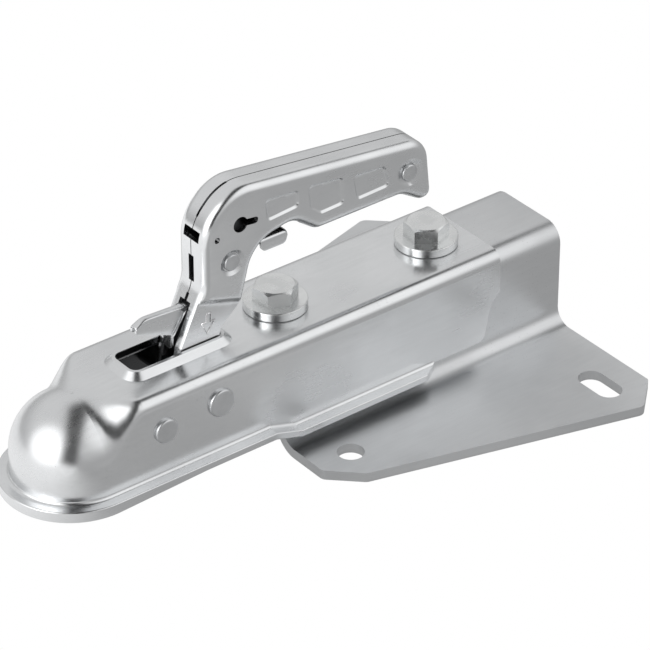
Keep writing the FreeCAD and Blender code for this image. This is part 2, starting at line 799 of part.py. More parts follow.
def lever_shell():
    """One half of the lever: a pressed tray, open towards the seam in the middle."""
    start = size.seam_gap / 2
    profile = free_sketch("lever_outline", "side")
    outline(profile, lever_corners())
    bind(profile, "Placement.Base.y", -start)
    block = extrude("lever_block", profile, size.grip_half - start)
    outer = rounded("lever_rounded", block, size.grip_half, size.grip_rounding)
    inset = doc.addObject("Part::Offset2D", "lever_inset")
    inset.Source = profile
    inset.Value = -size.lever_sheet.value
    bind(inset, "Value", -size.lever_sheet)
    doc.recompute()
    depth = size.grip_half - size.lever_sheet
    hollow = rounded("lever_hollow", extrude("lever_hollow_block", inset, depth - start), depth,
                     size.grip_rounding - size.lever_sheet)
    outer = cut("lever_stepped", outer, step_wedge("step_outside", size.base_half))
    hollow = cut("lever_hollow_stepped", hollow, step_wedge("step_inside", size.base_half - size.lever_sheet))
    tray = cut("lever_tray", outer, hollow)

    beyond = size.grip_half + 1
    inner = size.base_half - size.lever_sheet
    pivot = (size.lever_pin_place, size.lever_pin_level)
    catch_pin = (size.catch_rivet_place, size.catch_rivet_level)
    grip_pin = (size.grip_rivet_place, size.grip_rivet_level)
    cam_angle = math.radians(size.cam_turn.value)
    cam_pin = (pivot[0] + size.cam_rivet_reach * math.cos(cam_angle),
               pivot[1] + size.cam_rivet_reach * math.sin(cam_angle))

    def round_holes(sketch):
        ring(sketch, *pivot, size.lever_pin_radius + size.pin_play)
        ring(sketch, *catch_pin, size.catch_rivet_radius + size.fit_play)
        ring(sketch, *grip_pin, size.grip_rivet_radius + size.fit_play)
        ring(sketch, *cam_pin, size.cam_rivet_radius + size.fit_play)
        ring(sketch, size.catch_rivet_place - 6.4, size.catch_rivet_level + 13.1, 0.9)

    keyhole = (size.catch_rivet_place + 6.4, size.catch_rivet_level + 16.8)

    def keyhole_bow(sketch):
        ring(sketch, *keyhole, size.keyhole_radius)

    tail_half = size.keyhole_tail
    tools = [
        side_holes("round_holes", round_holes, 0, beyond),
        side_holes("keyhole_bow", keyhole_bow, 0, beyond),
        side_plate("keyhole_tail", [(keyhole[0], keyhole[1] - tail_half, 0),
                                    (keyhole[0] + 9.6, keyhole[1] - tail_half + 0.6, 1.3),
                                    (keyhole[0] + 9.6, keyhole[1] + tail_half + 0.6, 1.3),
                                    (keyhole[0], keyhole[1] + tail_half, 0)], 0, beyond),
        side_holes("catch_dimple", lambda sketch: ring(sketch, *catch_pin, size.dimple_radius),
                   size.grip_half - size.dimple_depth, 3),
        side_plate("grip_dimple",
                   [(grip_pin[0] - 5.8, grip_pin[1] - 5.4, 5), (grip_pin[0] + 5.6, grip_pin[1] - 5.4, 5),
                    (grip_pin[0] + 8.8, grip_pin[1] + 7.6, 5), (grip_pin[0] - 3.4, grip_pin[1] + 7.6, 5)],
                   size.grip_half - size.dimple_depth, 3),
        side_plate("catch_mouth",
                   [(size.slot_front, size.leg_level - 8, 0), (size.arm_rear, size.leg_level - 8, 0),
                    (size.arm_rear, size.mouth_top_level, 0), (size.slot_front, size.mouth_top_level, 0)],
                   0, size.mouth_half),
        side_plate("hub_mouth",
                   [(size.slot_front, size.jaw_foot, 0), (size.grip_start, size.jaw_foot, 0),
                    (size.grip_start, size.housing_top - 5, 0), (size.slot_front, size.housing_top - 5, 0)],
                   0, inner),
        side_plate("trigger_mouth",
                   [(size.throat_place - 2, size.throat_level - 9, 0), (size.grip_start - 8, size.throat_level - 9, 0),
                    (size.grip_start - 11, size.hump_level + 4, 2), (size.throat_place - 2, size.hump_level + 4, 2)],
                   0, size.trigger_half + 0.7),
        side_plate("arm_mouth",
                   [(size.throat_place - 12, size.throat_level - 15, 0), (size.throat_place, size.throat_level - 15, 0),
                    (size.throat_place, size.throat_level + 3, 0), (size.throat_place - 12, size.throat_level + 3, 2)],
                   0, size.mouth_half),
        side_plate("leg_mouth",
                   [(size.hub_rear - 4, size.housing_top - 8, 0), (size.back_low_place, size.housing_top - 8, 0),
                    (size.back_low_place, size.back_low_level - 1, 0), (size.hub_rear - 4, size.back_low_level - 1, 2)],
                   0, size.mouth_half),
        side_plate("bend_hole",
                   [(size.bend_front_place - 4, 87.5, 0), (size.bend_front_place + 8, 87.5, 0),
                    (size.bend_front_place + 8, 93.5, 0), (size.bend_front_place - 4, 93.5, 0)], 0, 3.6),
        side_plate("window_slot",
                   [(size.bend_front_place - 4, 67.5, 0), (size.bend_front_place + 6, 67.5, 0),
                    (size.bend_front_place + 6, 80.5, 0), (size.bend_front_place - 4, 80.5, 0)], 0, 1.6),
    ]
    corner = size.panel_corner
    panels = (("panel_front", [(106.0, 98.0), (124.0, 96.2), (125.2, 84.3), (113.0, 83.4), (105.0, 85.5)]),
              ("panel_middle", [(128.8, 95.6), (150.0, 93.2), (151.6, 76.6), (143.5, 74.4), (137.5, 74.6),
                                (130.4, 81.0)]),
              ("panel_rear", [(153.6, 92.4), (175.4, 89.6), (177.6, 80.0), (175.0, 75.4), (156.5, 74.6)]))
    for name, places in panels:
        tools.append(side_plate(name, [(as_size(x), as_size(z), corner) for x, z in places],
                                size.grip_half - size.panel_depth, 3))
    left = cut("handle_shell_left", tray, fuse("lever_tools", tools))
    left.Label = "handle_shell_left"
    right = doc.addObject("Part::Mirroring", "handle_shell_right")
    right.Source = left
    right.Normal = Vector(0, 1, 0)
    right.Label = "handle_shell_right"
    doc.recompute()
    nodes.append(left)
    nodes.append(right)


def lever_rivets():
    """Rivets that hold the two shells together, the sleeve in the grip and the catch's own sleeve."""
    reach = size.grip_half - size.dimple_depth
    rivet("catch_rivet", size.catch_rivet_place, size.catch_rivet_level, size.catch_rivet_radius,
          size.catch_rivet_head, reach, size.dimple_depth + 0.3)
    rivet("grip_rivet", size.grip_rivet_place, size.grip_rivet_level, size.grip_rivet_radius,
          size.grip_rivet_head, reach, size.dimple_depth + 0.3)
    inner = size.grip_half - size.lever_sheet
    bore = size.grip_rivet_radius + size.pin_play
    sleeve("grip_spacer", size.grip_rivet_place, size.grip_rivet_level, bore, bore + size.sleeve_wall, -inner, inner)
    bore = size.catch_rivet_radius + size.pin_play
    sleeve("catch_spacer", size.catch_rivet_place, size.catch_rivet_level, bore, bore + size.sleeve_wall,
           -inner, -size.catch_half - size.side_play)
    angle = math.radians(size.cam_turn.value)
    rivet("cam_rivet", size.lever_pin_place + size.cam_rivet_reach * math.cos(angle),
          size.lever_pin_level + size.cam_rivet_reach * math.sin(angle), size.cam_rivet_radius,
          size.cam_rivet_head, size.base_half, as_size(1.2))


def lever_cam():
    """Block between the shells: a hub on the pivot and a nose that holds the jaw shut."""
    body = new_body("lever_cam")
    half = size.base_half - size.lever_sheet - size.cam_play
    end = size.cam_nose_reach + size.cam_nose_radius
    profile = sketch_in(body, "cam_profile", "XZ_Plane")
    outline(profile, [(-size.cam_hub, -size.cam_hub, size.cam_hub * 0.9),
                      (end, -size.cam_nose_radius, size.cam_nose_radius * 0.85),
                      (end, size.cam_nose_radius, size.cam_nose_radius * 0.85),
                      (-size.cam_hub, size.cam_hub, size.cam_hub * 0.9)])
    ring(profile, 0, 0, size.lever_pin_radius + size.pin_play)
    ring(profile, size.cam_rivet_reach, 0, size.cam_rivet_radius + size.fit_play)
    grow(body, "Pad", "cam_block", profile, half * 2, symmetric=True)
    body.Placement = FreeCAD.Placement(Vector(), FreeCAD.Rotation(Vector(0, -1, 0), 1))
    bind(body, "Placement.Base.x", size.lever_pin_place)
    bind(body, "Placement.Base.z", size.lever_pin_level)
    bind(body, "Placement.Rotation.Angle", size.cam_turn)
    nodes.append(body)


def ball_jaw():
    """Hook behind the ball: two ears on the front rivet and a pad hollowed to the ball's form."""
    body = new_body("ball_jaw")
    profile = sketch_in(body, "jaw_profile", "XZ_Plane")
    hub_left = size.jaw_pin_place - size.jaw_hub
    hub_right = size.jaw_pin_place + size.jaw_hub
    hub_top = size.jaw_pin_level + size.jaw_hub
    outline(profile, [(hub_left, hub_top, size.jaw_hub * 0.98), (hub_right, hub_top, size.jaw_hub * 0.98),
                      (size.jaw_back, size.jaw_foot, 3), (14, size.jaw_foot, 0), (14, size.jaw_notch_level - 2, 0),
                      (hub_left, size.jaw_notch_level, 1)])
    ring(profile, size.jaw_pin_place, size.jaw_pin_level, size.jaw_pin_radius + size.pin_play)
    grow(body, "Pad", "jaw_block", profile, size.jaw_half * 2, symmetric=True)
    doc.recompute()
    radius = size.ball_radius + size.jaw_play
    ball = sketch_in(body, "ball_hollow", "XZ_Plane")
    arc = ball.addGeometry(Part.ArcOfCircle(Part.Circle(Vector(), UP, radius.value), -math.pi / 2, math.pi / 2))
    line = ball.addGeometry(Part.LineSegment(Vector(0, radius.value, 0), Vector(0, -radius.value, 0)))
    rules = [(Sketcher.Constraint("Coincident", arc, 2, line, 1), None),
             (Sketcher.Constraint("Coincident", arc, 1, line, 2), None)]
    fixed(rules, (line, 1), 0, radius)
    fixed(rules, (line, 2), 0, -radius)
    rules.append((Sketcher.Constraint("DistanceX", -1, 1, arc, 3, 0.0), None))
    settle(ball, rules)
    spin(body, "Groove", "ball_cut", ball)
    notch = sketch_in(body, "jaw_notch", "YZ_Plane")
    outline(notch, [(-size.jaw_ear_inner, size.jaw_notch_level, 2), (size.jaw_ear_inner, size.jaw_notch_level, 2),
                    (size.jaw_ear_inner, size.housing_top, 0), (-size.jaw_ear_inner, size.housing_top, 0)])
    grow(body, "Pocket", "jaw_notch_cut", notch, symmetric=True)
    doc.recompute()
    nodes.append(body)


def catch_corners():
    """Outline of the safety catch from the side: flap, leg, arm and hub."""
    hub = (size.catch_rivet_place, size.catch_rivet_level)
    return [(size.flap_tip_place, size.flap_tip_level, 0.8), (size.flap_foot_place, size.flap_foot_level, 1),
            (size.flap_foot_place, size.leg_level, 2), (size.leg_rear, size.leg_level, 2),
            (size.arm_rear, size.arm_rear_level, 8), (hub[0] + size.catch_hub - 1, hub[1] - size.catch_hub, 4),
            (size.trigger_start + 3, size.trigger_top - 3.4, 0.5), (size.trigger_start + 3, size.trigger_top, 0.5),
            (hub[0] + size.catch_hub - 2, hub[1] + size.catch_hub, 4), (hub[0] - 4, hub[1] + size.catch_hub, 3.6),
            (hub[0] - 7.8, hub[1] - 4.2, 4),
            (size.flap_root_place, size.flap_root_level, 5), (size.flap_crown_place, size.flap_crown_level, 14)]


def moved(name, base, x, z):
    """A copy of a piece, shifted in the side view."""
    thing = doc.addObject("Part::Compound", name)
    thing.Links = [base]
    bind(thing, "Placement.Base.x", x)
    bind(thing, "Placement.Base.z", z)
    doc.recompute()
    return thing


def safety_catch():
    """Folded sheet on the catch rivet: a channel with the front flap, the leg and the finger trigger."""
    half = size.catch_half
    block = side_plate("catch_block", catch_corners(), -half, half * 2)
    inner = half - size.catch_sheet
    core = side_plate("catch_core", catch_corners(), -inner, inner * 2)
    core = moved("catch_hollow", core, size.catch_sheet * 0.8, -size.catch_sheet)
    keep = side_plate("flap_keep", [(size.flap_tip_place - 2, size.leg_level - 9, 0),
                                    (size.flap_foot_place + 2, size.leg_level - 9, 0),
                                    (size.flap_foot_place + 6, size.flap_crown_level, 0),
                                    (size.flap_tip_place - 2, size.flap_crown_level, 0)], -half, half * 2)
    core = cut("catch_core_cut", core, keep)
    channel = cut("catch_channel", block, core)
    slopes = []
    for side in (-1, 1):
        sketch = free_sketch("flap_slope_%s" % ("left" if side < 0 else "right"), "cross")
        outer = (half + 2) * side
        outline(sketch, [(half * side, size.flap_foot_level - 2, 0), (size.flap_ridge_half * side,
                         size.flap_crown_level + 0.4, 0), (outer, size.flap_crown_level + 0.4, 0),
                         (outer, size.flap_foot_level - 2, 0)])
        bind(sketch, "Placement.Base.x", size.flap_tip_place - 3)
        slopes.append(extrude("flap_slope_cut_%s" % ("left" if side < 0 else "right"), sketch,
                              size.flap_root_place - size.flap_tip_place + 3))
    channel = cut("catch_sloped", channel, fuse("flap_slopes", slopes))
    wide = size.trigger_half
    low = size.trigger_top - size.trigger_skirt
    section = free_sketch("trigger_section", "cross")
    thick = size.catch_sheet
    outline(section, [(-wide, low, 0), (-wide, size.trigger_top, 2), (wide, size.trigger_top, 2), (wide, low, 0),
                      (wide - thick, low, 0), (wide - thick, size.trigger_top - thick, 0.4),
                      (-wide + thick, size.trigger_top - thick, 0.4), (-wide + thick, low, 0)])
    bind(section, "Placement.Base.x", size.trigger_start)
    trigger = extrude("trigger", section, size.trigger_end - size.trigger_start)
    whole = fuse("catch_whole", [channel, trigger])
    bore = side_holes("catch_bore", lambda sketch: ring(sketch, size.catch_rivet_place, size.catch_rivet_level,
                                                        size.catch_rivet_radius + size.pin_play), -half - 1,
                      half * 2 + 2)
    catch = cut("safety_catch", whole, bore)
    catch.Label = "safety_catch"
    nodes.append(catch)


def leg_spring(name, place, level, radius, wire, turns, start, first_leg, last_leg):
    """Leg spring about an axis along Y: a leg down, a coil of whole turns and a leg up."""
    pitch = wire.value * 1.15
    coil = Part.makeHelix(pitch, pitch * turns, radius.value)
    middle = Vector(place.value, start.value, level.value)
    stand = FreeCAD.Rotation(Vector(0, 1, 0), 180).multiply(FreeCAD.Rotation(Vector(1, 0, 0), -90))
    coil.Placement = FreeCAD.Placement(middle, stand)
    low, high = sorted((corner.Point for corner in coil.Vertexes), key=lambda point: point.y)
    section = Part.Wire([Part.makeCircle(wire.value / 2, low, UP)])
    tube = Part.Wire(coil.Edges).makePipeShell([section], True, True)
    legs = [Part.makeCylinder(wire.value / 2, first_leg, low, -UP),
            Part.makeCylinder(wire.value / 2, last_leg, high, UP)]
    thing = doc.addObject("Part::Feature", name)
    thing.Label = name
    thing.Shape = tube.fuse(legs).removeSplitter()
    nodes.append(thing)


def springs():
    """The jaw's spring sits on its right sleeve, the catch's spring on the catch rivet."""
    jaw_sleeve = size.jaw_pin_radius + size.pin_play + size.sleeve_wall
    leg_spring("jaw_spring", size.jaw_pin_place, size.jaw_pin_level,
               jaw_sleeve + size.jaw_wire / 2 + size.side_play, size.jaw_wire, 3,
               size.jaw_half + size.side_play + size.jaw_wire * 0.7, 17.0, 14.2)
    leg_spring("catch_spring", size.catch_rivet_place, size.catch_rivet_level,
               size.catch_rivet_radius + size.catch_wire / 2 + 0.6, size.catch_wire, 3,
               size.catch_half + size.side_play + size.catch_wire * 0.6, 10.0, 11.0)


coupling_body()
mounting_bracket()
bolted_joints()
side_pins()
lever_shell()
lever_rivets()
lever_cam()
ball_jaw()
safety_catch()
springs()
doc.recompute()

os.makedirs("parts", exist_ok=True)
for thing in doc.Objects:
    if "Invalid" in thing.State or "Error" in thing.State:
        raise RuntimeError("%s failed: %s" % (thing.Name, thing.State))
for node in nodes:
    if node.Shape.isNull() or not node.Shape.isValid():
        raise RuntimeError("%s has no valid shape" % node.Label)
    node.Shape.exportStep("parts/%s.step" % node.Label)
    print("%s solids %d volume %.0f" % (node.Label, len(node.Shape.Solids), node.Shape.Volume))
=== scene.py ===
import math
import bmesh
import bpy
import numpy as np
from mathutils import Matrix, Vector
from mathutils.geometry import delaunay_2d_cdt


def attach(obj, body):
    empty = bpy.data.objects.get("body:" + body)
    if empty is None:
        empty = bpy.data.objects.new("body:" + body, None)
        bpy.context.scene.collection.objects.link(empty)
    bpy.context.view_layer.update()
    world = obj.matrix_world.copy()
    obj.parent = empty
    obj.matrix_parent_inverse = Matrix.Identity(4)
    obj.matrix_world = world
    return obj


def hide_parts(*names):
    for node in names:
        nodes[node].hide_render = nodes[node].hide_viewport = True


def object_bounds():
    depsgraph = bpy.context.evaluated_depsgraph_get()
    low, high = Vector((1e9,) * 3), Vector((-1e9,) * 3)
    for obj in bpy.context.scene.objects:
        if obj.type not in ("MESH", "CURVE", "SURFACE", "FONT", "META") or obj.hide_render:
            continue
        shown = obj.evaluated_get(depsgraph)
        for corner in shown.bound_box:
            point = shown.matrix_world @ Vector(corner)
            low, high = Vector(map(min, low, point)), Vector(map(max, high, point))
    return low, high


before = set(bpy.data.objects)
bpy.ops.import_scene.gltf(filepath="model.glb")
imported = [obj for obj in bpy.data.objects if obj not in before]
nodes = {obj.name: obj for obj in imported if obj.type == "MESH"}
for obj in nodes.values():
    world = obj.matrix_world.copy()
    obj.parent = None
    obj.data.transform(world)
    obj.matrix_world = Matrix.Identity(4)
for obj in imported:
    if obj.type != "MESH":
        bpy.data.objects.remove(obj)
cad_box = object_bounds()


# Camera: it stands at the left front and above, far back with a long lens, as a product is
# photographed. Its place is counted from the middle of the tow ball that the nose closes over.
def new_object(name, data):
    """An object in the scene for some data, at the origin and unturned."""
    made = bpy.data.objects.new(name, data)
    bpy.context.scene.collection.objects.link(made)
    return made


camera_place = (-0.7743, -1.1752, 0.9779)
camera_right = Vector((0.7878, -0.6160, 0.0))
camera_up = Vector((0.3358, 0.4294, 0.8384))
camera_data = bpy.data.cameras.new("camera")
camera_data.lens = 209.84
camera_data.sensor_width = 36.0
camera_data.clip_end = 10.0
camera = new_object("camera", camera_data)
camera_axes = Matrix((camera_right, camera_up, camera_right.cross(camera_up)))
camera.matrix_world = Matrix.Translation(camera_place) @ camera_axes.transposed().to_4x4()
bpy.context.scene.camera = camera
bpy.context.scene.view_settings.view_transform = "Standard"


# Stage: one white sweep under the part. It keeps a soft shadow and shows pure white to the camera,
# while the steel mirrors it darker beside the part and bright before the nose, as paper under a
# lamp on one side does.
white = (1.0, 1.0, 1.0, 1.0)
paper_paint = (0.8, 0.8, 0.8, 1.0)
mirrored_level = 0.42
nose_glow = 0.58
nose_span = (-0.12, 0.02)
beside_glow = 0.07
beside_rise = (0.08, 0.15)
beside_fall = (0.19, 0.29)
near_side = 0.07
slant = 0.5
floor_half = 2.0
floor_gap = 0.0002
floor_level = cad_box[0][2] - floor_gap


def feed(tree, slot, value):
    """A node's input, set to a number or colour, or linked where the value is a node's output."""
    if isinstance(value, (float, tuple)):
        slot.default_value = value
    else:
        tree.links.new(value, slot)


def math_node(tree, operation, first, second=0.0):
    """The sum, product or comparison of two values."""
    node = tree.nodes.new("ShaderNodeMath")
    node.operation = operation
    feed(tree, node.inputs[0], first)
    feed(tree, node.inputs[1], second)
    return node.outputs[0]


def level_step(tree, value, low, high, at_low, at_high, easing="SMOOTHSTEP"):
    """A step from one level to another as a value goes from low to high, held beyond them."""
    step = tree.nodes.new("ShaderNodeMapRange")
    step.interpolation_type = easing
    feed(tree, step.inputs["Value"], value)
    feed(tree, step.inputs["From Min"], low)
    feed(tree, step.inputs["From Max"], high)
    feed(tree, step.inputs["To Min"], at_low)
    feed(tree, step.inputs["To Max"], at_high)
    return step.outputs["Result"]


def mixed_shader(tree, share, first, second):
    """A shader that goes from the first to the second as the share goes from 0 to 1."""
    mix = tree.nodes.new("ShaderNodeMixShader")
    for slot, value in zip(mix.inputs, (share, first, second)):
        tree.links.new(value, slot)
    return mix.outputs["Shader"]


def object_axes(tree):
    """The X, Y and Z of each point of a piece, as three outputs."""
    place = tree.nodes.new("ShaderNodeTexCoord")
    split = tree.nodes.new("ShaderNodeSeparateXYZ")
    tree.links.new(place.outputs["Object"], split.inputs["Vector"])
    return split.outputs


def white_stage_material():
    """White paper that glows white to the camera. Mirrored, its level follows a slanting line: the
    distance back along X less half the distance sideways."""
    material = bpy.data.materials.new("white_stage")
    material.use_nodes = True
    tree = material.node_tree
    tree.nodes.clear()
    paint = tree.nodes.new("ShaderNodeBsdfDiffuse")
    paint.inputs["Color"].default_value = paper_paint
    glow = tree.nodes.new("ShaderNodeEmission")
    glow.inputs["Color"].default_value = white
    mirrored = tree.nodes.new("ShaderNodeEmission")
    place = object_axes(tree)
    sideways = math_node(tree, "MULTIPLY", math_node(tree, "ADD", place["Y"], near_side), slant)
    reach = math_node(tree, "SUBTRACT", place["X"], sideways)
    before_nose = level_step(tree, reach, *nose_span, nose_glow, 0.0)
    beside = math_node(tree, "MULTIPLY", level_step(tree, reach, *beside_rise, 0.0, 1.0),
                       level_step(tree, reach, *beside_fall, beside_glow, 0.0))
    brighter = math_node(tree, "ADD", before_nose, beside)
    level = math_node(tree, "ADD", brighter, mirrored_level)
    tree.links.new(level, mirrored.inputs["Strength"])
    path = tree.nodes.new("ShaderNodeLightPath")
    seen = math_node(tree, "MAXIMUM", path.outputs["Is Camera Ray"],
                     path.outputs["Is Transmission Ray"])
    paper = mixed_shader(tree, path.outputs["Is Glossy Ray"], paint.outputs["BSDF"],
                         mirrored.outputs["Emission"])
    output = tree.nodes.new("ShaderNodeOutputMaterial")
    tree.links.new(mixed_shader(tree, seen, paper, glow.outputs["Emission"]),
                   output.inputs["Surface"])
    return material


floor_mesh = bpy.data.meshes.new("stage_floor")
floor_mesh.from_pydata([(floor_half * x, floor_half * y, floor_level)
                        for x, y in ((-1, -1), (1, -1), (1, 1), (-1, 1))], [], [(0, 1, 2, 3)])
floor_mesh.materials.append(white_stage_material())
floor = new_object("stage_floor", floor_mesh)


# Light: a pale studio all round. A broad soft box stands at the front left, a second bright field
# behind the camera's right, and a black flag hangs over the part, which the dome mirrors as its
# dark patches. One soft panel at the front left adds to the box.
sky_span = (-0.1, 0.55)
sky_levels = (0.50, 0.90)
left_box_way = (-0.93, -0.14, 0.34)
left_box_spread = (0.66, 0.90)
left_box_level = 1.25
rear_field_way = (0.5165, -0.52, 0.64)
rear_field_spread = (0.72, 0.97)
rear_field_level = 0.42
flag_side_way = (-0.72, 0.675, 0.16)
flag_edge = (0.17, 0.34)
flag_rear = (0.22, 0.46)
flag_foot = (0.03, 0.12)
flag_darkness = 0.97
panel_place = Vector((-1.3, -0.2, 0.5))
panel_aim = Vector((0.11, 0.0, 0.03))
panel_side = 0.5
panel_power = 3.0


def new_group(name, inputs, outputs):
    """An empty node group with named inputs and outputs, each given with its kind."""
    group = bpy.data.node_groups.new(name, "ShaderNodeTree")
    for end, sockets in (("INPUT", inputs), ("OUTPUT", outputs)):
        for socket, kind in sockets.items():
            group.interface.new_socket(socket, in_out=end, socket_type="NodeSocket" + kind)
    entry = group.nodes.new("NodeGroupInput")
    leave = group.nodes.new("NodeGroupOutput")
    return group, entry.outputs, leave.inputs


def studio_sky_group():
    """The studio's level in each direction: a sky paler above, plus the box and the field as round
    soft spots, times what the flag leaves open. The flag is a band over the part that ends at
    the rear and near the floor."""
    group, entry, leave = new_group("studio_sky", {"Direction": "Vector"}, {"Level": "Float"})
    split = group.nodes.new("ShaderNodeSeparateXYZ")
    group.links.new(entry["Direction"], split.inputs["Vector"])
    deep, high = split.outputs["Y"], split.outputs["Z"]

    def towards(way):
        """How nearly the ray goes a given way, as a cosine."""
        dot = group.nodes.new("ShaderNodeVectorMath")
        dot.operation = "DOT_PRODUCT"
        group.links.new(entry["Direction"], dot.inputs[0])
        dot.inputs[1].default_value = Vector(way).normalized()
        return dot.outputs["Value"]

    lit = level_step(group, high, *sky_span, *sky_levels)
    for way, spread, level in ((left_box_way, left_box_spread, left_box_level),
                               (rear_field_way, rear_field_spread, rear_field_level)):
        lit = math_node(group, "ADD", lit, level_step(group, towards(way), *spread, 0.0, level))
    across = math_node(group, "ABSOLUTE", towards(flag_side_way))
    flag = level_step(group, across, *flag_edge, 1.0, 0.0)
    before_rear = level_step(group, deep, *flag_rear, 1.0, 0.0)
    above_foot = level_step(group, high, *flag_foot, 0.0, flag_darkness)
    for end in (before_rear, above_foot):
        flag = math_node(group, "MULTIPLY", flag, end)
    left_open = math_node(group, "SUBTRACT", 1.0, flag)
    group.links.new(math_node(group, "MULTIPLY", lit, left_open), leave["Level"])
    return group


world = bpy.data.worlds.new("studio")
bpy.context.scene.world = world
world.use_nodes = True
sky_tree = world.node_tree
sky_tree.nodes.clear()
sky_place = sky_tree.nodes.new("ShaderNodeTexCoord")
sky = sky_tree.nodes.new("ShaderNodeGroup")
sky.node_tree = studio_sky_group()
sky_tree.links.new(sky_place.outputs["Generated"], sky.inputs["Direction"])
sky_light = sky_tree.nodes.new("ShaderNodeBackground")
sky_tree.links.new(sky.outputs["Level"], sky_light.inputs["Strength"])
sky_seen = sky_tree.nodes.new("ShaderNodeBackground")
sky_seen.inputs["Color"].default_value = white
sky_path = sky_tree.nodes.new("ShaderNodeLightPath")
sky_output = sky_tree.nodes.new("ShaderNodeOutputWorld")
sky_tree.links.new(mixed_shader(sky_tree, sky_path.outputs["Is Camera Ray"],
                                sky_light.outputs["Background"], sky_seen.outputs["Background"]),
                   sky_output.inputs["Surface"])

panel_light = bpy.data.lights.new("front_left_panel", "AREA")
panel_light.shape = "RECTANGLE"
panel_light.size = panel_side
panel_light.size_y = panel_side
panel_light.energy = panel_power
panel = new_object("front_left_panel", panel_light)
panel.location = panel_place
panel.rotation_euler = (panel_aim - panel_place).to_track_quat("-Z", "Y").to_euler()


# Zinc plating: the bright, faintly cool coat on every steel piece, with rolling lines, soft clouds
# and tiny pits. In hollows that hardly see the light its colour is darkened: painted shade. One
# group makes it, and each finish sets its own tones, size of clouds, roughness and reach of
# the painted shade.
cloud_span = (0.34, 0.66)
cloud_share = 0.55
grain_share = 0.45
painted_shade_tint = (0.045, 0.047, 0.05, 1.0)
painted_shade_span = (0.05, 0.42)
painted_shade_most = 0.62
hollow_roughness = 0.25
grain_stretch = (60.0, 500.0, 500.0)
grain_height = 0.00006
grain_strength = 0.1
pit_scale = 620.0
pit_span = (0.05, 0.16)
pit_clouds = (0.52, 0.62)
pit_darkness = 0.30
pit_depth = 0.5
rough_span = (0.2, 0.8)


def blended(tree, share, first, second):
    """A colour that goes from the first to the second as the share goes from 0 to 1."""
    mix = tree.nodes.new("ShaderNodeMix")
    mix.data_type = "RGBA"
    feed(tree, mix.inputs["Factor"], share)
    feed(tree, mix.inputs["A"], first)
    feed(tree, mix.inputs["B"], second)
    return mix.outputs["Result"]


def zinc_group():
    """The tone is a mix of grain and clouds, darkened by the pits and by painted shade where few
    rays leave the surface. The roughness falls as the tone rises, and the grain and pits lift the
    normal a little."""
    group, entry, leave = new_group(
        "zinc_plating",
        {"Pale": "Color", "Dull": "Color", "Cloud Scale": "Float", "Rough Low": "Float",
         "Rough High": "Float", "Hollow Reach": "Float"},
        {"Color": "Color", "Roughness": "Float", "Normal": "Vector"})
    inner = group.nodes
    links = group.links
    place = inner.new("ShaderNodeTexCoord").outputs["Object"]

    cloud = inner.new("ShaderNodeTexNoise")
    cloud.inputs["Detail"].default_value = 4.0
    cloud.inputs["Roughness"].default_value = 0.5
    links.new(place, cloud.inputs["Vector"])
    links.new(entry["Cloud Scale"], cloud.inputs["Scale"])
    clouds = level_step(group, cloud.outputs["Fac"], *cloud_span, 0.0, 1.0, "LINEAR")

    stretch = inner.new("ShaderNodeVectorMath")
    stretch.operation = "MULTIPLY"
    links.new(place, stretch.inputs[0])
    stretch.inputs[1].default_value = grain_stretch
    grain = inner.new("ShaderNodeTexNoise")
    grain.inputs["Scale"].default_value = 1.0
    grain.inputs["Detail"].default_value = 3.0
    links.new(stretch.outputs["Vector"], grain.inputs["Vector"])

    pits = inner.new("ShaderNodeTexVoronoi")
    pits.inputs["Scale"].default_value = pit_scale
    links.new(place, pits.inputs["Vector"])
    spots = level_step(group, pits.outputs["Distance"], *pit_span, 1.0, 0.0, "LINEAR")
    scatter = level_step(group, cloud.outputs["Fac"], *pit_clouds, 0.0, 1.0, "LINEAR")
    pitted = math_node(group, "MULTIPLY", spots, scatter)

    hollow = inner.new("ShaderNodeAmbientOcclusion")
    hollow.samples = 4
    links.new(entry["Hollow Reach"], hollow.inputs["Distance"])
    # Painted shade: the colour darkens where ambient occlusion finds few open rays.
    painted_shade = level_step(group, hollow.outputs["AO"], *painted_shade_span, painted_shade_most, 0.0, "LINEAR")

    tone = math_node(group, "ADD", math_node(group, "MULTIPLY", grain.outputs["Fac"], grain_share),
                     math_node(group, "MULTIPLY", clouds, cloud_share))
    plain = blended(group, tone, entry["Dull"], entry["Pale"])
    dark = math_node(group, "MAXIMUM", painted_shade, math_node(group, "MULTIPLY", pitted, pit_darkness))
    links.new(blended(group, dark, plain, painted_shade_tint), leave["Color"])

    rough = level_step(group, tone, *rough_span, entry["Rough High"], entry["Rough Low"],
                       "LINEAR")
    dulled = math_node(group, "MULTIPLY", painted_shade, hollow_roughness)
    links.new(math_node(group, "ADD", rough, dulled), leave["Roughness"])

    bump = inner.new("ShaderNodeBump")
    bump.inputs["Distance"].default_value = grain_height
    bump.inputs["Strength"].default_value = grain_strength
    height = math_node(group, "SUBTRACT", grain.outputs["Fac"],
                       math_node(group, "MULTIPLY", pitted, pit_depth))
    links.new(height, bump.inputs["Height"])
    links.new(bump.outputs["Normal"], leave["Normal"])
    return group


zinc = zinc_group()


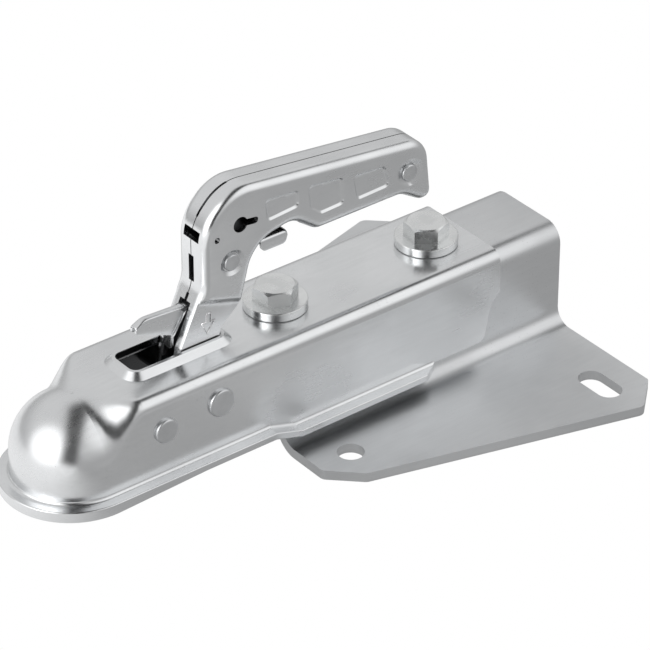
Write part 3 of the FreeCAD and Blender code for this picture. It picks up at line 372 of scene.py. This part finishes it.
def steel(name, pale, dull, roughness, cloud_scale, hollow_reach=0.012):
    """A plated steel finish: the pale and dull tones that clouds and grain mix, the lowest and
    highest roughness, clouds to the metre, and how near a wall the painted shade begins."""
    material = bpy.data.materials.new(name)
    material.use_nodes = True
    tree = material.node_tree
    shader = tree.nodes["Principled BSDF"]
    shader.inputs["Metallic"].default_value = 1.0
    plating = tree.nodes.new("ShaderNodeGroup")
    plating.node_tree = zinc
    plating.inputs["Pale"].default_value = (*pale, 1.0)
    plating.inputs["Dull"].default_value = (*dull, 1.0)
    plating.inputs["Cloud Scale"].default_value = cloud_scale
    plating.inputs["Rough Low"].default_value = roughness[0]
    plating.inputs["Rough High"].default_value = roughness[1]
    plating.inputs["Hollow Reach"].default_value = hollow_reach
    tree.links.new(plating.outputs["Color"], shader.inputs["Base Color"])
    tree.links.new(plating.outputs["Roughness"], shader.inputs["Roughness"])
    tree.links.new(plating.outputs["Normal"], shader.inputs["Normal"])
    return material


# Lever shells: two pressed trays of 2.5 mm zinc plated sheet, with rolled edges, three sunk panels,
# dimples round the rivets and a keyhole. Each is a skin drawn over its side outline and thickened
# inwards. They meet at the seam, are held by rivets and sleeves, and swing with the lever.
lever_finish = steel("lever_zinc", (0.84, 0.85, 0.86), (0.74, 0.75, 0.76), (0.19, 0.30), 30.0)
# The inner finish is painted shade: the shells' inside faces, the catch's arm and the pieces within
# are coloured near black for the shade inside.
inner_shade_finish = steel("inner_painted_shade_zinc", (0.15, 0.155, 0.16), (0.05, 0.052, 0.055), (0.28, 0.45), 60.0,
                     hollow_reach=0.03)

# Sizes are in millimetres. Corners are x, z and radius, the panels' corners and the pins x and z.
grip_half = 10.5
base_half = 8.0
lever_sheet = 2.5
edge_roll = 4.4
lever_corners = [(49.0, 1.8, 6), (71.7, 3.8, 9), (78.6, 37.5, 4), (89.6, 46.5, 12),
                 (97.3, 75.2, 18), (119.0, 79.2, 10), (132.5, 69.4, 7), (182.5, 69.4, 10),
                 (194.0, 62.4, 4.5), (200.9, 62.4, 4.5), (197.6, 94.9, 13), (84.4, 108.4, 22),
                 (68.2, 92.4, 24), (68.2, 61.5, 15), (55.3, 34.0, 8)]
lever_outline_step = 0.75
step_front = (68.2, 57.9)
step_slope = math.radians(17.3)
step_span = (-4.9, 0.2)
panel_corners = [
    [(101.9, 97.4), (103.4, 85.2), (121.7, 86.6), (121.8, 95.4)],
    [(126.6, 95.6), (128.1, 82.9), (134.5, 77.9), (148.0, 78.4), (147.2, 92.8)],
    [(152.5, 91.7), (155.2, 77.4), (173.4, 78.0), (174.4, 80.2), (171.7, 89.8)]]
panel_corner_radius = 2.5
panel_depth = 1.0
panel_wall = 1.2
dimple_depth = 1.2
catch_dimple_span = (6.6, 4.8)
grip_dimple_span = (6.8, 5.0)
grip_dimple_stretch = 0.86
catch_pin = (83.6, 71.1)
grip_pin = (186.5, 80.4)
lever_pin = (62.2, 14.2)
cam_pin = (54.91, 6.78)
small_hole = (75.3, 85.9)
rivet_hole_radius = 3.15
lever_pin_hole_radius = 5.15
cam_pin_hole_radius = 2.65
small_hole_radius = 1.5
fill_step = 1.6
merge_reach = 2e-6
fold_angle = math.radians(32)


def rounded_outline(corners, step):
    """Points a step apart round a closed outline given as x, z and radius at each corner: straight
    runs joined by arcs that touch both runs of their corner."""
    places = np.array([corner[:2] for corner in corners], float)
    points = []
    for index, corner in enumerate(corners):
        radius = corner[2]
        here = places[index]
        before = places[index - 1] - here
        after = places[(index + 1) % len(corners)] - here
        before = before / np.hypot(*before)
        after = after / np.hypot(*after)
        half = math.acos(float(np.clip(before @ after, -1.0, 1.0))) / 2
        middle = here + (before + after) / np.hypot(*(before + after)) * radius / math.sin(half)
        first = here + before * radius / math.tan(half) - middle
        last = here + after * radius / math.tan(half) - middle
        turn = math.atan2(first[0] * last[1] - first[1] * last[0], float(first @ last))
        share = np.linspace(0.0, turn, max(5, int(abs(turn) * radius / step) + 2))[:, None]
        across = np.array((-first[1], first[0]))
        points.append(middle + first * np.cos(share) + across * np.sin(share))
    points = np.concatenate(points)
    reach = np.hypot(*(np.roll(points, -1, 0) - points).T)
    along = np.concatenate(([0.0], np.cumsum(reach)))
    closed = np.vstack((points, points[:1]))
    count = int(along[-1] / step)
    wanted = np.linspace(0.0, along[-1], count, endpoint=False)
    return np.column_stack([np.interp(wanted, along, closed[:, axis]) for axis in (0, 1)])


def inset_loop(loop, inward):
    """An anticlockwise loop moved inwards, each point square to the line between its neighbours."""
    along = np.roll(loop, -1, 0) - np.roll(loop, 1, 0)
    along /= np.hypot(*along.T)[:, None]
    return loop + inward * np.column_stack((-along[:, 1], along[:, 0]))


def depth_inside(points, loop):
    """How far each point lies inside a closed loop: the distance to its nearest edge, negative
    where a line from the point to the side crosses the loop an even number of times."""
    start = loop[None]
    run = np.roll(loop, -1, 0)[None] - start
    offset = points[:, None] - start
    share = np.clip((offset * run).sum(-1) / (run * run).sum(-1), 0.0, 1.0)
    nearest = np.sqrt((((offset - share[..., None] * run)) ** 2).sum(-1)).min(1)
    end = start + run
    height = points[:, None, 1]
    crosses = (start[..., 1] > height) != (end[..., 1] > height)
    rise = np.where(run[..., 1] == 0, 1e-12, run[..., 1])
    crossing = start[..., 0] + (height - start[..., 1]) / rise * run[..., 0]
    inside = (crosses & (crossing > points[:, None, 0])).sum(1) % 2 == 1
    return np.where(inside, nearest, -nearest)


def smooth_share(value, low, high):
    """From 0 at the low value to 1 at the high one, eased at both: three squares less two cubes."""
    share = np.clip((value - low) / (high - low), 0.0, 1.0)
    return share * share * (3 - 2 * share)


def circle(x, z, radius, count=32):
    """Points round a circle, anticlockwise, from its middle and radius."""
    angle = np.linspace(0.0, 2 * math.pi, count, endpoint=False)
    return np.column_stack((x + radius * np.cos(angle), z + radius * np.sin(angle)))


def keyhole_outline():
    """A round bow with a narrower round-ended tail to the rear, run anticlockwise."""
    x, z, bow_radius, tail_radius, reach, drop = 88.4, 89.5, 3.9, 1.7, 8.2, 0.6
    lean = math.asin(tail_radius / bow_radius)
    bow = np.linspace(lean, 2 * math.pi - lean, 30)
    tail = np.linspace(-math.pi / 2, math.pi / 2, 12)
    return np.vstack((
        np.column_stack((x + bow_radius * np.cos(bow), z + bow_radius * np.sin(bow))),
        np.column_stack((x + reach + tail_radius * np.cos(tail),
                         z - drop + tail_radius * np.sin(tail)))))


sunk_panels = [rounded_outline([(*corner, panel_corner_radius) for corner in corners], 1.0)
               for corners in panel_corners]
cut_outs = [keyhole_outline(), circle(*small_hole, small_hole_radius, 16),
            circle(*catch_pin, rivet_hole_radius), circle(*grip_pin, rivet_hole_radius),
            circle(*lever_pin, lever_pin_hole_radius), circle(*cam_pin, cam_pin_hole_radius)]

# Openings in the walls, each as its limits in x and in z and its half width: in front for the
# catch, below for the hub, for the trigger and its arm, behind the foot, the hole in the bend, the
# slot in the neck, the notch under it and the widened seam over the bend.
wall_openings = [((29, 75.5), (24, 53.4), 3.8), ((29, 132), (-14, 25.5), 5.6),
                 ((98.9, 124.5), (66, 83), 7.7), ((85.3, 99.9), (58, 79), 3.8),
                 ((67.7, 89.6), (22.5, 45.5), 3.8), ((60, 78), (84.3, 89.8), 5.6),
                 ((60, 72), (62.8, 76.4), 1.9), ((55, 72), (52, 57.3), 0.9),
                 ((64, 88.4), (95, 112), 0.65)]


def step_height(points):
    """How far above the step in the lever's side a point lies, square to its sloping line."""
    back = points[:, 0] - step_front[0]
    up = points[:, 1] - step_front[1]
    return (up + back * math.tan(step_slope)) * math.cos(step_slope)


def side_level(points):
    """Half the lever's width on its flat side: the grip's, less the step down to the base, the
    panels and the dimples, each an eased step over the distance to its edge."""
    level = base_half + (grip_half - base_half) * smooth_share(step_height(points), *step_span)
    for panel in sunk_panels:
        level = level - panel_depth * smooth_share(depth_inside(points, panel), 0.0, panel_wall)
    catch_away = np.hypot(*(points - catch_pin).T)
    level = level - dimple_depth * smooth_share(catch_away, *catch_dimple_span)
    grip_away = np.hypot((points[:, 0] - grip_pin[0]) * grip_dimple_stretch,
                         points[:, 1] - grip_pin[1])
    return level - dimple_depth * smooth_share(grip_away, *grip_dimple_span)


def lever_wall(outline):
    """Rings of points from the seam outwards, then inwards over the rolled edge, a quarter circle,
    to the flat side. Neighbours are joined by quads, but for the wall's openings."""
    count = len(outline)
    wall = np.array((0.25, 0.65, 0.9, 1.9, 2.9, 3.8, 5.0, 5.6, 6.1))
    inward = np.array((0.12, 0.43, 0.9, 1.6, 2.5, 3.4, edge_roll))
    rolled = grip_half - edge_roll + np.sqrt(edge_roll ** 2 - (edge_roll - inward) ** 2)
    rings = [np.column_stack((outline, np.full(count, level))) for level in wall]
    for distance, level in zip(inward, rolled):
        ring = inset_loop(outline, distance)
        rings.append(np.column_stack((ring, np.minimum(level, side_level(ring)))))
    points = np.concatenate(rings)
    index = np.arange(len(points)).reshape(len(rings), count)
    after = np.roll(index, -1, 1)
    quads = np.stack((index[:-1], after[:-1], after[1:], index[1:]), -1).reshape(-1, 4)
    x, z, half_width = points[quads].mean(1).T
    kept = np.ones(len(quads), bool)
    for (low_x, high_x), (low_z, high_z), half in wall_openings:
        kept &= ~((x > low_x) & (x < high_x) & (z > low_z) & (z < high_z) & (half_width < half))
    return points, quads[kept], rings[-1][:, :2]


def flat_side(border):
    """The flat side as triangles over an even lattice of points, with every hole, panel wall and
    dimple as fixed edges, kept inside the border and outside the holes."""
    panel_rings, dimple_rings = (0.45, 0.9, 1.3), (4.8, 5.7, 6.6)
    border_gap, edge_gap = 0.9, 0.4
    shapes = [border] + cut_outs
    for panel in sunk_panels:
        shapes += [panel] + [inset_loop(panel, inward) for inward in panel_rings]
    shapes += [circle(*catch_pin, radius) for radius in dimple_rings]
    x_places, z_places = np.arange(48, 202, fill_step), np.arange(0, 110, fill_step)
    lattice = np.stack(np.meshgrid(x_places, z_places), -1).reshape(-1, 2)
    lattice = lattice[depth_inside(lattice, border) > border_gap]
    for shape in shapes[1:]:
        lattice = lattice[np.abs(depth_inside(lattice, shape)) > edge_gap]
    for cut_out in cut_outs:
        lattice = lattice[depth_inside(lattice, cut_out) < 0]
    far_corners = np.array([(-400.0, -400.0), (700.0, -400.0), (700.0, 600.0), (-400.0, 600.0)])
    flat = np.concatenate(shapes + [lattice, far_corners])
    edges = []
    start = 0
    for shape in shapes:
        own = np.arange(start, start + len(shape))
        edges.append(np.column_stack((own, np.roll(own, -1))))
        start += len(shape)
    made, _, triangles, _, _, _ = delaunay_2d_cdt(
        [Vector(point) for point in flat], np.concatenate(edges).tolist(), [], 0, 1e-5)
    made = np.array([tuple(point) for point in made])
    triangles = np.array(triangles)
    centre = made[triangles].mean(1)
    kept = depth_inside(centre, border) > 0
    for cut_out in cut_outs:
        kept &= depth_inside(centre, cut_out) < 0
    triangles = triangles[kept]
    a, b, c = (made[triangles[:, corner]] for corner in range(3))
    ahead, beyond = b - a, c - a
    clockwise = ahead[:, 0] * beyond[:, 1] - ahead[:, 1] * beyond[:, 0] < 0
    triangles[clockwise] = triangles[clockwise][:, ::-1]
    return np.column_stack((made, side_level(made))), triangles


def finished_mesh(piece):
    """A mesh of the piece with its modifiers, or its curve's thickness, made part of it."""
    graph = bpy.context.evaluated_depsgraph_get()
    return bpy.data.meshes.new_from_object(piece.evaluated_get(graph))


def shade(mesh):
    """Smooth shading but for the sharp folds."""
    mesh.shade_smooth()
    mesh.set_sharp_from_angle(angle=fold_angle)


def lever_shell(name, side):
    """One tray, from its wall and its flat side, merged where they meet and thickened inwards. The
    side is -1 for the left and 1 for the right."""
    wall, quads, border = lever_wall(rounded_outline(lever_corners, lever_outline_step))
    flat, triangles = flat_side(border)
    every = np.concatenate((wall, flat))
    place = np.column_stack((every[:, 0], side * every[:, 2], every[:, 1])) / 1000
    faces = quads.tolist() + (triangles + len(wall)).tolist()
    if side > 0:
        faces = [face[::-1] for face in faces]
    mesh = bpy.data.meshes.new(name)
    mesh.from_pydata(place.tolist(), [], faces)
    build = bmesh.new()
    build.from_mesh(mesh)
    bmesh.ops.remove_doubles(build, verts=build.verts, dist=merge_reach)
    loose = [point for point in build.verts if not point.link_faces]
    bmesh.ops.delete(build, geom=loose, context="VERTS")
    build.to_mesh(mesh)
    build.free()
    mesh.materials.append(lever_finish)
    mesh.materials.append(inner_shade_finish)
    piece = new_object(name, mesh)
    sheet = piece.modifiers.new("sheet", "SOLIDIFY")
    sheet.thickness = lever_sheet / 1000
    sheet.offset = -1.0
    # The inside faces take the inner finish: painted shade.
    sheet.material_offset = 1
    thick_mesh = finished_mesh(piece)
    piece.modifiers.clear()
    piece.data = thick_mesh
    shade(thick_mesh)
    return piece


for hand, side in (("left", -1), ("right", 1)):
    shell = lever_shell("lever_" + hand, side)
    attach(shell, "lever")
    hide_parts("handle_shell_" + hand)


# Arrow on the lever's foot: a plain downward arrow, stamped up from the near shell's side as a thin
# raised line. Its finish is paler than the sheet round it: a painted highlight on the ridge.
arrow_corners = np.array([(70.3, 47.8), (72.7, 47.6), (72.4, 43.1), (74.7, 43.2), (70.4, 37.3),
                          (67.6, 43.5), (69.9, 43.3)])
arrow_line_half = 0.0005
# Painted highlight: the arrow's tones are paler than the lever's.
arrow_highlight_finish = steel("arrow_highlight_zinc", (0.97, 0.97, 0.97), (0.92, 0.92, 0.93), (0.12, 0.20), 30.0)
arrow_line = bpy.data.curves.new("foot_arrow", "CURVE")
arrow_line.dimensions = "3D"
arrow_line.bevel_depth = arrow_line_half
arrow_line.bevel_resolution = 3
arrow_run = arrow_line.splines.new("POLY")
arrow_run.points.add(len(arrow_corners) - 1)
arrow_run.use_cyclic_u = True
for point, (x, z) in zip(arrow_run.points, arrow_corners / 1000):
    point.co = (x, -base_half / 1000, z, 1.0)
arrow_line.materials.append(arrow_highlight_finish)
arrow = new_object("foot_arrow", arrow_line)
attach(arrow, "lever")


# Safety catch: sheet of about 1.5 mm, folded and plated as the lever, that hangs on the rivet in
# the neck. In front it is a roof-shaped flap with a tongue into the slot, behind an arm through the
# lever to the finger trigger, a channel with rounded skirts.
arm_half = 3.2
arm_edge = 0.7
arm_hole_radius = 3.2
arm_corners = [(60.8, 50.0, 0.3), (63.5, 50.0, 1.5), (75.5, 56.0, 8), (88.4, 65.3, 4),
               (105.5, 70.6, 0.5), (105.5, 84.0, 3), (95.2, 84.0, 4), (87.4, 76.9, 4),
               (79.6, 76.9, 3.6), (76.6, 66.5, 4), (67.0, 51.6, 5), (60.8, 51.4, 0.3)]
tongue_corners = [(-3.0, 32.2, 2.4), (3.0, 32.2, 2.4), (3.0, 40.3, 1), (1.4, 51.1, 0.6),
                  (-1.4, 51.1, 0.6), (-3.0, 40.3, 1)]
tongue_front = 53.8
tongue_rear = 55.4
tongue_edge = 0.25
crown_corners = [(34.0, 49.0, 0.8), (60.0, 44.0, 1), (64.0, 51.3, 1), (40.2, 52.6, 8)]
crown_foot = 49.2
crown_rear = 63.0
flap_front = 34.2
flap_run = 28.0
flap_half = 3.4
flap_lean = 0.125
flap_sheet = 1.4
trigger_sheet = 1.5
trigger_front = 102.5
trigger_length = 15.3
trigger_half = 6.6
trigger_depth = 6.6
trigger_top = 74.0
trigger_corner = 2.0
trigger_end_drop = 0.7
cut_edge = 0.00025


def flat_plate(name, loops, low, high, edge, facing="side"):
    """A plate with softened edges from closed loops, the first its outline and the rest holes. It
    stands between two levels, square to Y where it faces the side and to X where the front."""
    curve = bpy.data.curves.new(name, "CURVE")
    curve.dimensions = "2D"
    curve.fill_mode = "BOTH"
    curve.extrude = (high - low) / 2000 - edge / 1000
    curve.bevel_depth = edge / 1000
    curve.offset = -edge / 1000
    curve.bevel_resolution = 2
    for loop in loops:
        spline = curve.splines.new("POLY")
        spline.points.add(len(loop) - 1)
        places = np.column_stack((loop / 1000, np.zeros(len(loop)), np.ones(len(loop))))
        spline.points.foreach_set("co", places.ravel())
        spline.use_cyclic_u = True
    drawn = new_object(name, curve)
    mesh = finished_mesh(drawn)
    bpy.data.objects.remove(drawn)
    middle = (low + high) / 2000
    upright = Matrix.Rotation(math.pi / 2, 4, "X")
    if facing == "side":
        mesh.transform(Matrix.Translation((0, middle, 0)) @ upright)
    else:
        turned = Matrix.Rotation(math.pi / 2, 4, "Z") @ upright
        mesh.transform(Matrix.Translation((middle, 0, 0)) @ turned)
    return mesh


def folded_skin(name, grid, thickness):
    """A sheet from a grid of points in millimetres, thickened on its inner side, its cut edges
    softened."""
    rows, columns = grid.shape[:2]
    index = np.arange(rows * columns).reshape(rows, columns)
    quads = np.stack((index[:-1, :-1], index[1:, :-1], index[1:, 1:], index[:-1, 1:]), -1)
    mesh = bpy.data.meshes.new(name)
    mesh.from_pydata((grid.reshape(-1, 3) / 1000).tolist(), [], quads.reshape(-1, 4).tolist())
    drawn = new_object(name, mesh)
    sheet = drawn.modifiers.new("sheet", "SOLIDIFY")
    sheet.thickness = thickness / 1000
    sheet.offset = -1.0
    edge = drawn.modifiers.new("edge", "BEVEL")
    edge.width = cut_edge
    edge.segments = 2
    edge.angle_limit = math.radians(50)
    made = finished_mesh(drawn)
    bpy.data.objects.remove(drawn)
    return made


def joined(name, meshes):
    """One piece from several meshes, all faces turned outwards."""
    build = bmesh.new()
    for mesh in meshes:
        build.from_mesh(mesh)
    bmesh.ops.recalc_face_normals(build, faces=build.faces)
    whole = bpy.data.meshes.new(name)
    build.to_mesh(whole)
    build.free()
    shade(whole)
    return new_object(name, whole)


def both_sides(near):
    """A grid of points whose last column lies in the middle, and its mirror image beyond it."""
    return np.concatenate((near, near[:, -2::-1] * (1, -1, 1)), 1)


def flap_skin():
    """The roof over the slot's front. Each side runs straight from a slanting foot line up to the
    crown, leaning in as it rises, and low arch points close it over the ridge."""
    crown = rounded_outline(crown_corners, 0.4)
    top = crown[(crown[:, 1] > crown_foot) & (crown[:, 0] < crown_rear)]
    top = top[np.argsort(top[:, 0])][:, None]
    share = np.clip((top[..., 0] - flap_front) / flap_run, 0, 1)[..., None]
    foot_front, foot_rear = np.array((34.4, 47.9)), np.array((54.4, 40.3))
    foot = foot_front * (1 - share) + foot_rear * share
    rise = np.array((0.0, 0.3, 0.6, 0.85, 1.0))[None, :, None]
    side = foot + (top - foot) * rise
    half = flap_half - (side[..., 1] - foot_rear[1]) * flap_lean
    left = np.stack((side[..., 0], -half, side[..., 1]), -1)
    arch = ((0.86, 0.30), (0.55, 0.52), (0.0, 0.62))
    ridge = np.concatenate([np.stack((top[..., 0], -half[:, -1:] * part, top[..., 1] + lift), -1)
                            for part, lift in arch], 1)
    return both_sides(np.concatenate((left, ridge), 1))


def trigger_skin():
    """The finger trigger: a channel open below. Its skirts' depth falls off towards both ends as
    the root of one less a ninth power, its long corners are quarter circles, and its top drops a
    little at the ends."""
    along = np.linspace(0.0, 1.0, 21)[:, None]
    x = trigger_front + trigger_length * along
    skirt = trigger_depth * np.sqrt(np.clip(1 - np.abs(2 * along - 1) ** 9, 0.12, 1))
    level = trigger_top - trigger_end_drop * smooth_share(np.abs(along - 0.45), 0.46, 0.56)
    fold = level - trigger_corner
    turn = np.radians(np.linspace(0, 90, 6))[None]
    down = np.linspace(1.0, 0.0, 5)[None, :-1]
    side = np.stack((x + 0 * down, -trigger_half + 0 * (x + down),
                     fold - (skirt - trigger_corner) * down), -1)
    corner = np.stack((x + 0 * turn,
                       trigger_corner - trigger_half - trigger_corner * np.cos(turn) + 0 * x,
                       fold + trigger_corner * np.sin(turn)), -1)
    top = np.stack((x, 0 * x, level), -1)
    return both_sides(np.concatenate((side, corner, top), 1))


arm = flat_plate("catch_arm", [rounded_outline(arm_corners, 0.8),
                               circle(*catch_pin, arm_hole_radius)[::-1]],
                 -arm_half, arm_half, arm_edge)
# Painted shade: the arm, inside the lever, takes the dark inner finish.
arm.polygons.foreach_set("material_index", np.ones(len(arm.polygons), int))
tongue = flat_plate("catch_tongue", [rounded_outline(tongue_corners, 0.5)],
                    tongue_front, tongue_rear, tongue_edge, "front")
flap = folded_skin("catch_flap", flap_skin(), flap_sheet)
trigger = folded_skin("catch_trigger", trigger_skin(), trigger_sheet)
catch = joined("folded_catch", [arm, tongue, flap, trigger])
catch.data.materials.append(lever_finish)
catch.data.materials.append(inner_shade_finish)
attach(catch, "catch")
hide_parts("safety_catch")


# Housing: pressed steel sheet with a bright zinc coat, shown as the node has it. It closes over the
# ball and carries the rivets. Painted shade darkens the slot's cut edge and the walls inside.
slot_shade_tint = (0.085, 0.087, 0.09, 1.0)
shade_mask_edge = 0.0002
inner_shade_fade = 0.014
housing_finish = steel("housing_zinc", (0.82, 0.83, 0.84), (0.71, 0.72, 0.73), (0.20, 0.32), 18.0)
housing_tree = housing_finish.node_tree
housing_colour = housing_tree.nodes["Principled BSDF"].inputs["Base Color"]
housing_axes = object_axes(housing_tree)


def within(axis, low, high, fade=shade_mask_edge):
    """A mask that is one between two limits along an axis and fades out just inside them."""
    half = (high - low) / 2
    offset = math_node(housing_tree, "SUBTRACT", housing_axes[axis], (low + high) / 2)
    away = math_node(housing_tree, "ABSOLUTE", offset)
    return level_step(housing_tree, away, half - fade, half, 1.0, 0.0)


def inside_box(x_limits, y_limits, z_limits):
    """A mask that is one inside a box: the product of the masks along its axes."""
    flat = math_node(housing_tree, "MULTIPLY", within("X", *x_limits), within("Y", *y_limits))
    return math_node(housing_tree, "MULTIPLY", flat, within("Z", *z_limits))


def finish_nodes(material, names):
    """One finish on the nodes of the given names, in place of what they had."""
    for name in names:
        mesh = nodes[name].data
        mesh.materials.clear()
        mesh.materials.append(material)


# Painted shade: boxes round the slot's cut edge and the inner walls turn the plating near black.
slot_edge_shade = inside_box((0.0288, 0.0797), (-0.0089, 0.0089), (0.0, 0.0331))
inner_wall_shade = inside_box((0.026, 0.094, inner_shade_fade), (-0.0268, 0.0268), (-0.040, 0.0269))
shaded_colour = blended(housing_tree, math_node(housing_tree, "MAXIMUM", slot_edge_shade, inner_wall_shade),
                  housing_colour.links[0].from_socket, slot_shade_tint)
housing_tree.links.new(shaded_colour, housing_colour)
finish_nodes(housing_finish, ["coupling_body"])


# Bracket: a hat section folded from steel plate, with two drilled flanges, plated duller than the
# housing. The two bolts hold the housing on its top.
bracket_finish = steel("bracket_zinc", (0.74, 0.75, 0.76), (0.64, 0.65, 0.66), (0.32, 0.46), 14.0,
                       hollow_reach=0.004)
finish_nodes(bracket_finish, ["mounting_bracket"])


# Bolts, washers and nuts: two hexagon bolts of bright plated steel. Each goes through a thick
# washer, the housing, the bracket's top and a lower washer, and is held by a nut.
fastener_finish = steel("fastener_zinc", (0.86, 0.87, 0.87), (0.74, 0.75, 0.75), (0.20, 0.32), 90.0)
finish_nodes(fastener_finish, [end + piece for end in ("front", "rear")
                               for piece in ("_bolt", "_washer", "_lower_washer", "_nut")])


# Rivets: plated steel pins with heads beaten over. Two carry the lever and the jaw in the housing's
# sides, one carries the catch in the lever's neck, and one holds the grip's end together.
rivet_finish = steel("rivet_zinc", (0.74, 0.75, 0.76), (0.60, 0.61, 0.62), (0.26, 0.42), 120.0)
finish_nodes(rivet_finish, ["lever_pivot_pin", "jaw_pivot_pin", "catch_rivet", "grip_rivet"])


# Inner pieces: the sleeves on the pins and rivets, the cam with its rivet, and the jaw. They are
# steel, sit inside the housing and the lever, and are dark with painted shade, as the lever's
# inside is.
finish_nodes(inner_shade_finish, ["lever_spacer_left", "lever_spacer_right", "jaw_spacer_left",
                            "jaw_spacer_right", "grip_spacer", "catch_spacer", "cam_rivet",
                            "lever_cam", "ball_jaw"])


# Springs: two leg springs of dark steel wire, each a coil with two straight legs. One is wound
# round the jaw's sleeve and the other round the catch's rivet.
spring_finish = steel("spring_wire", (0.36, 0.37, 0.38), (0.24, 0.25, 0.26), (0.30, 0.45), 200.0)
finish_nodes(spring_finish, ["jaw_spring", "catch_spring"])
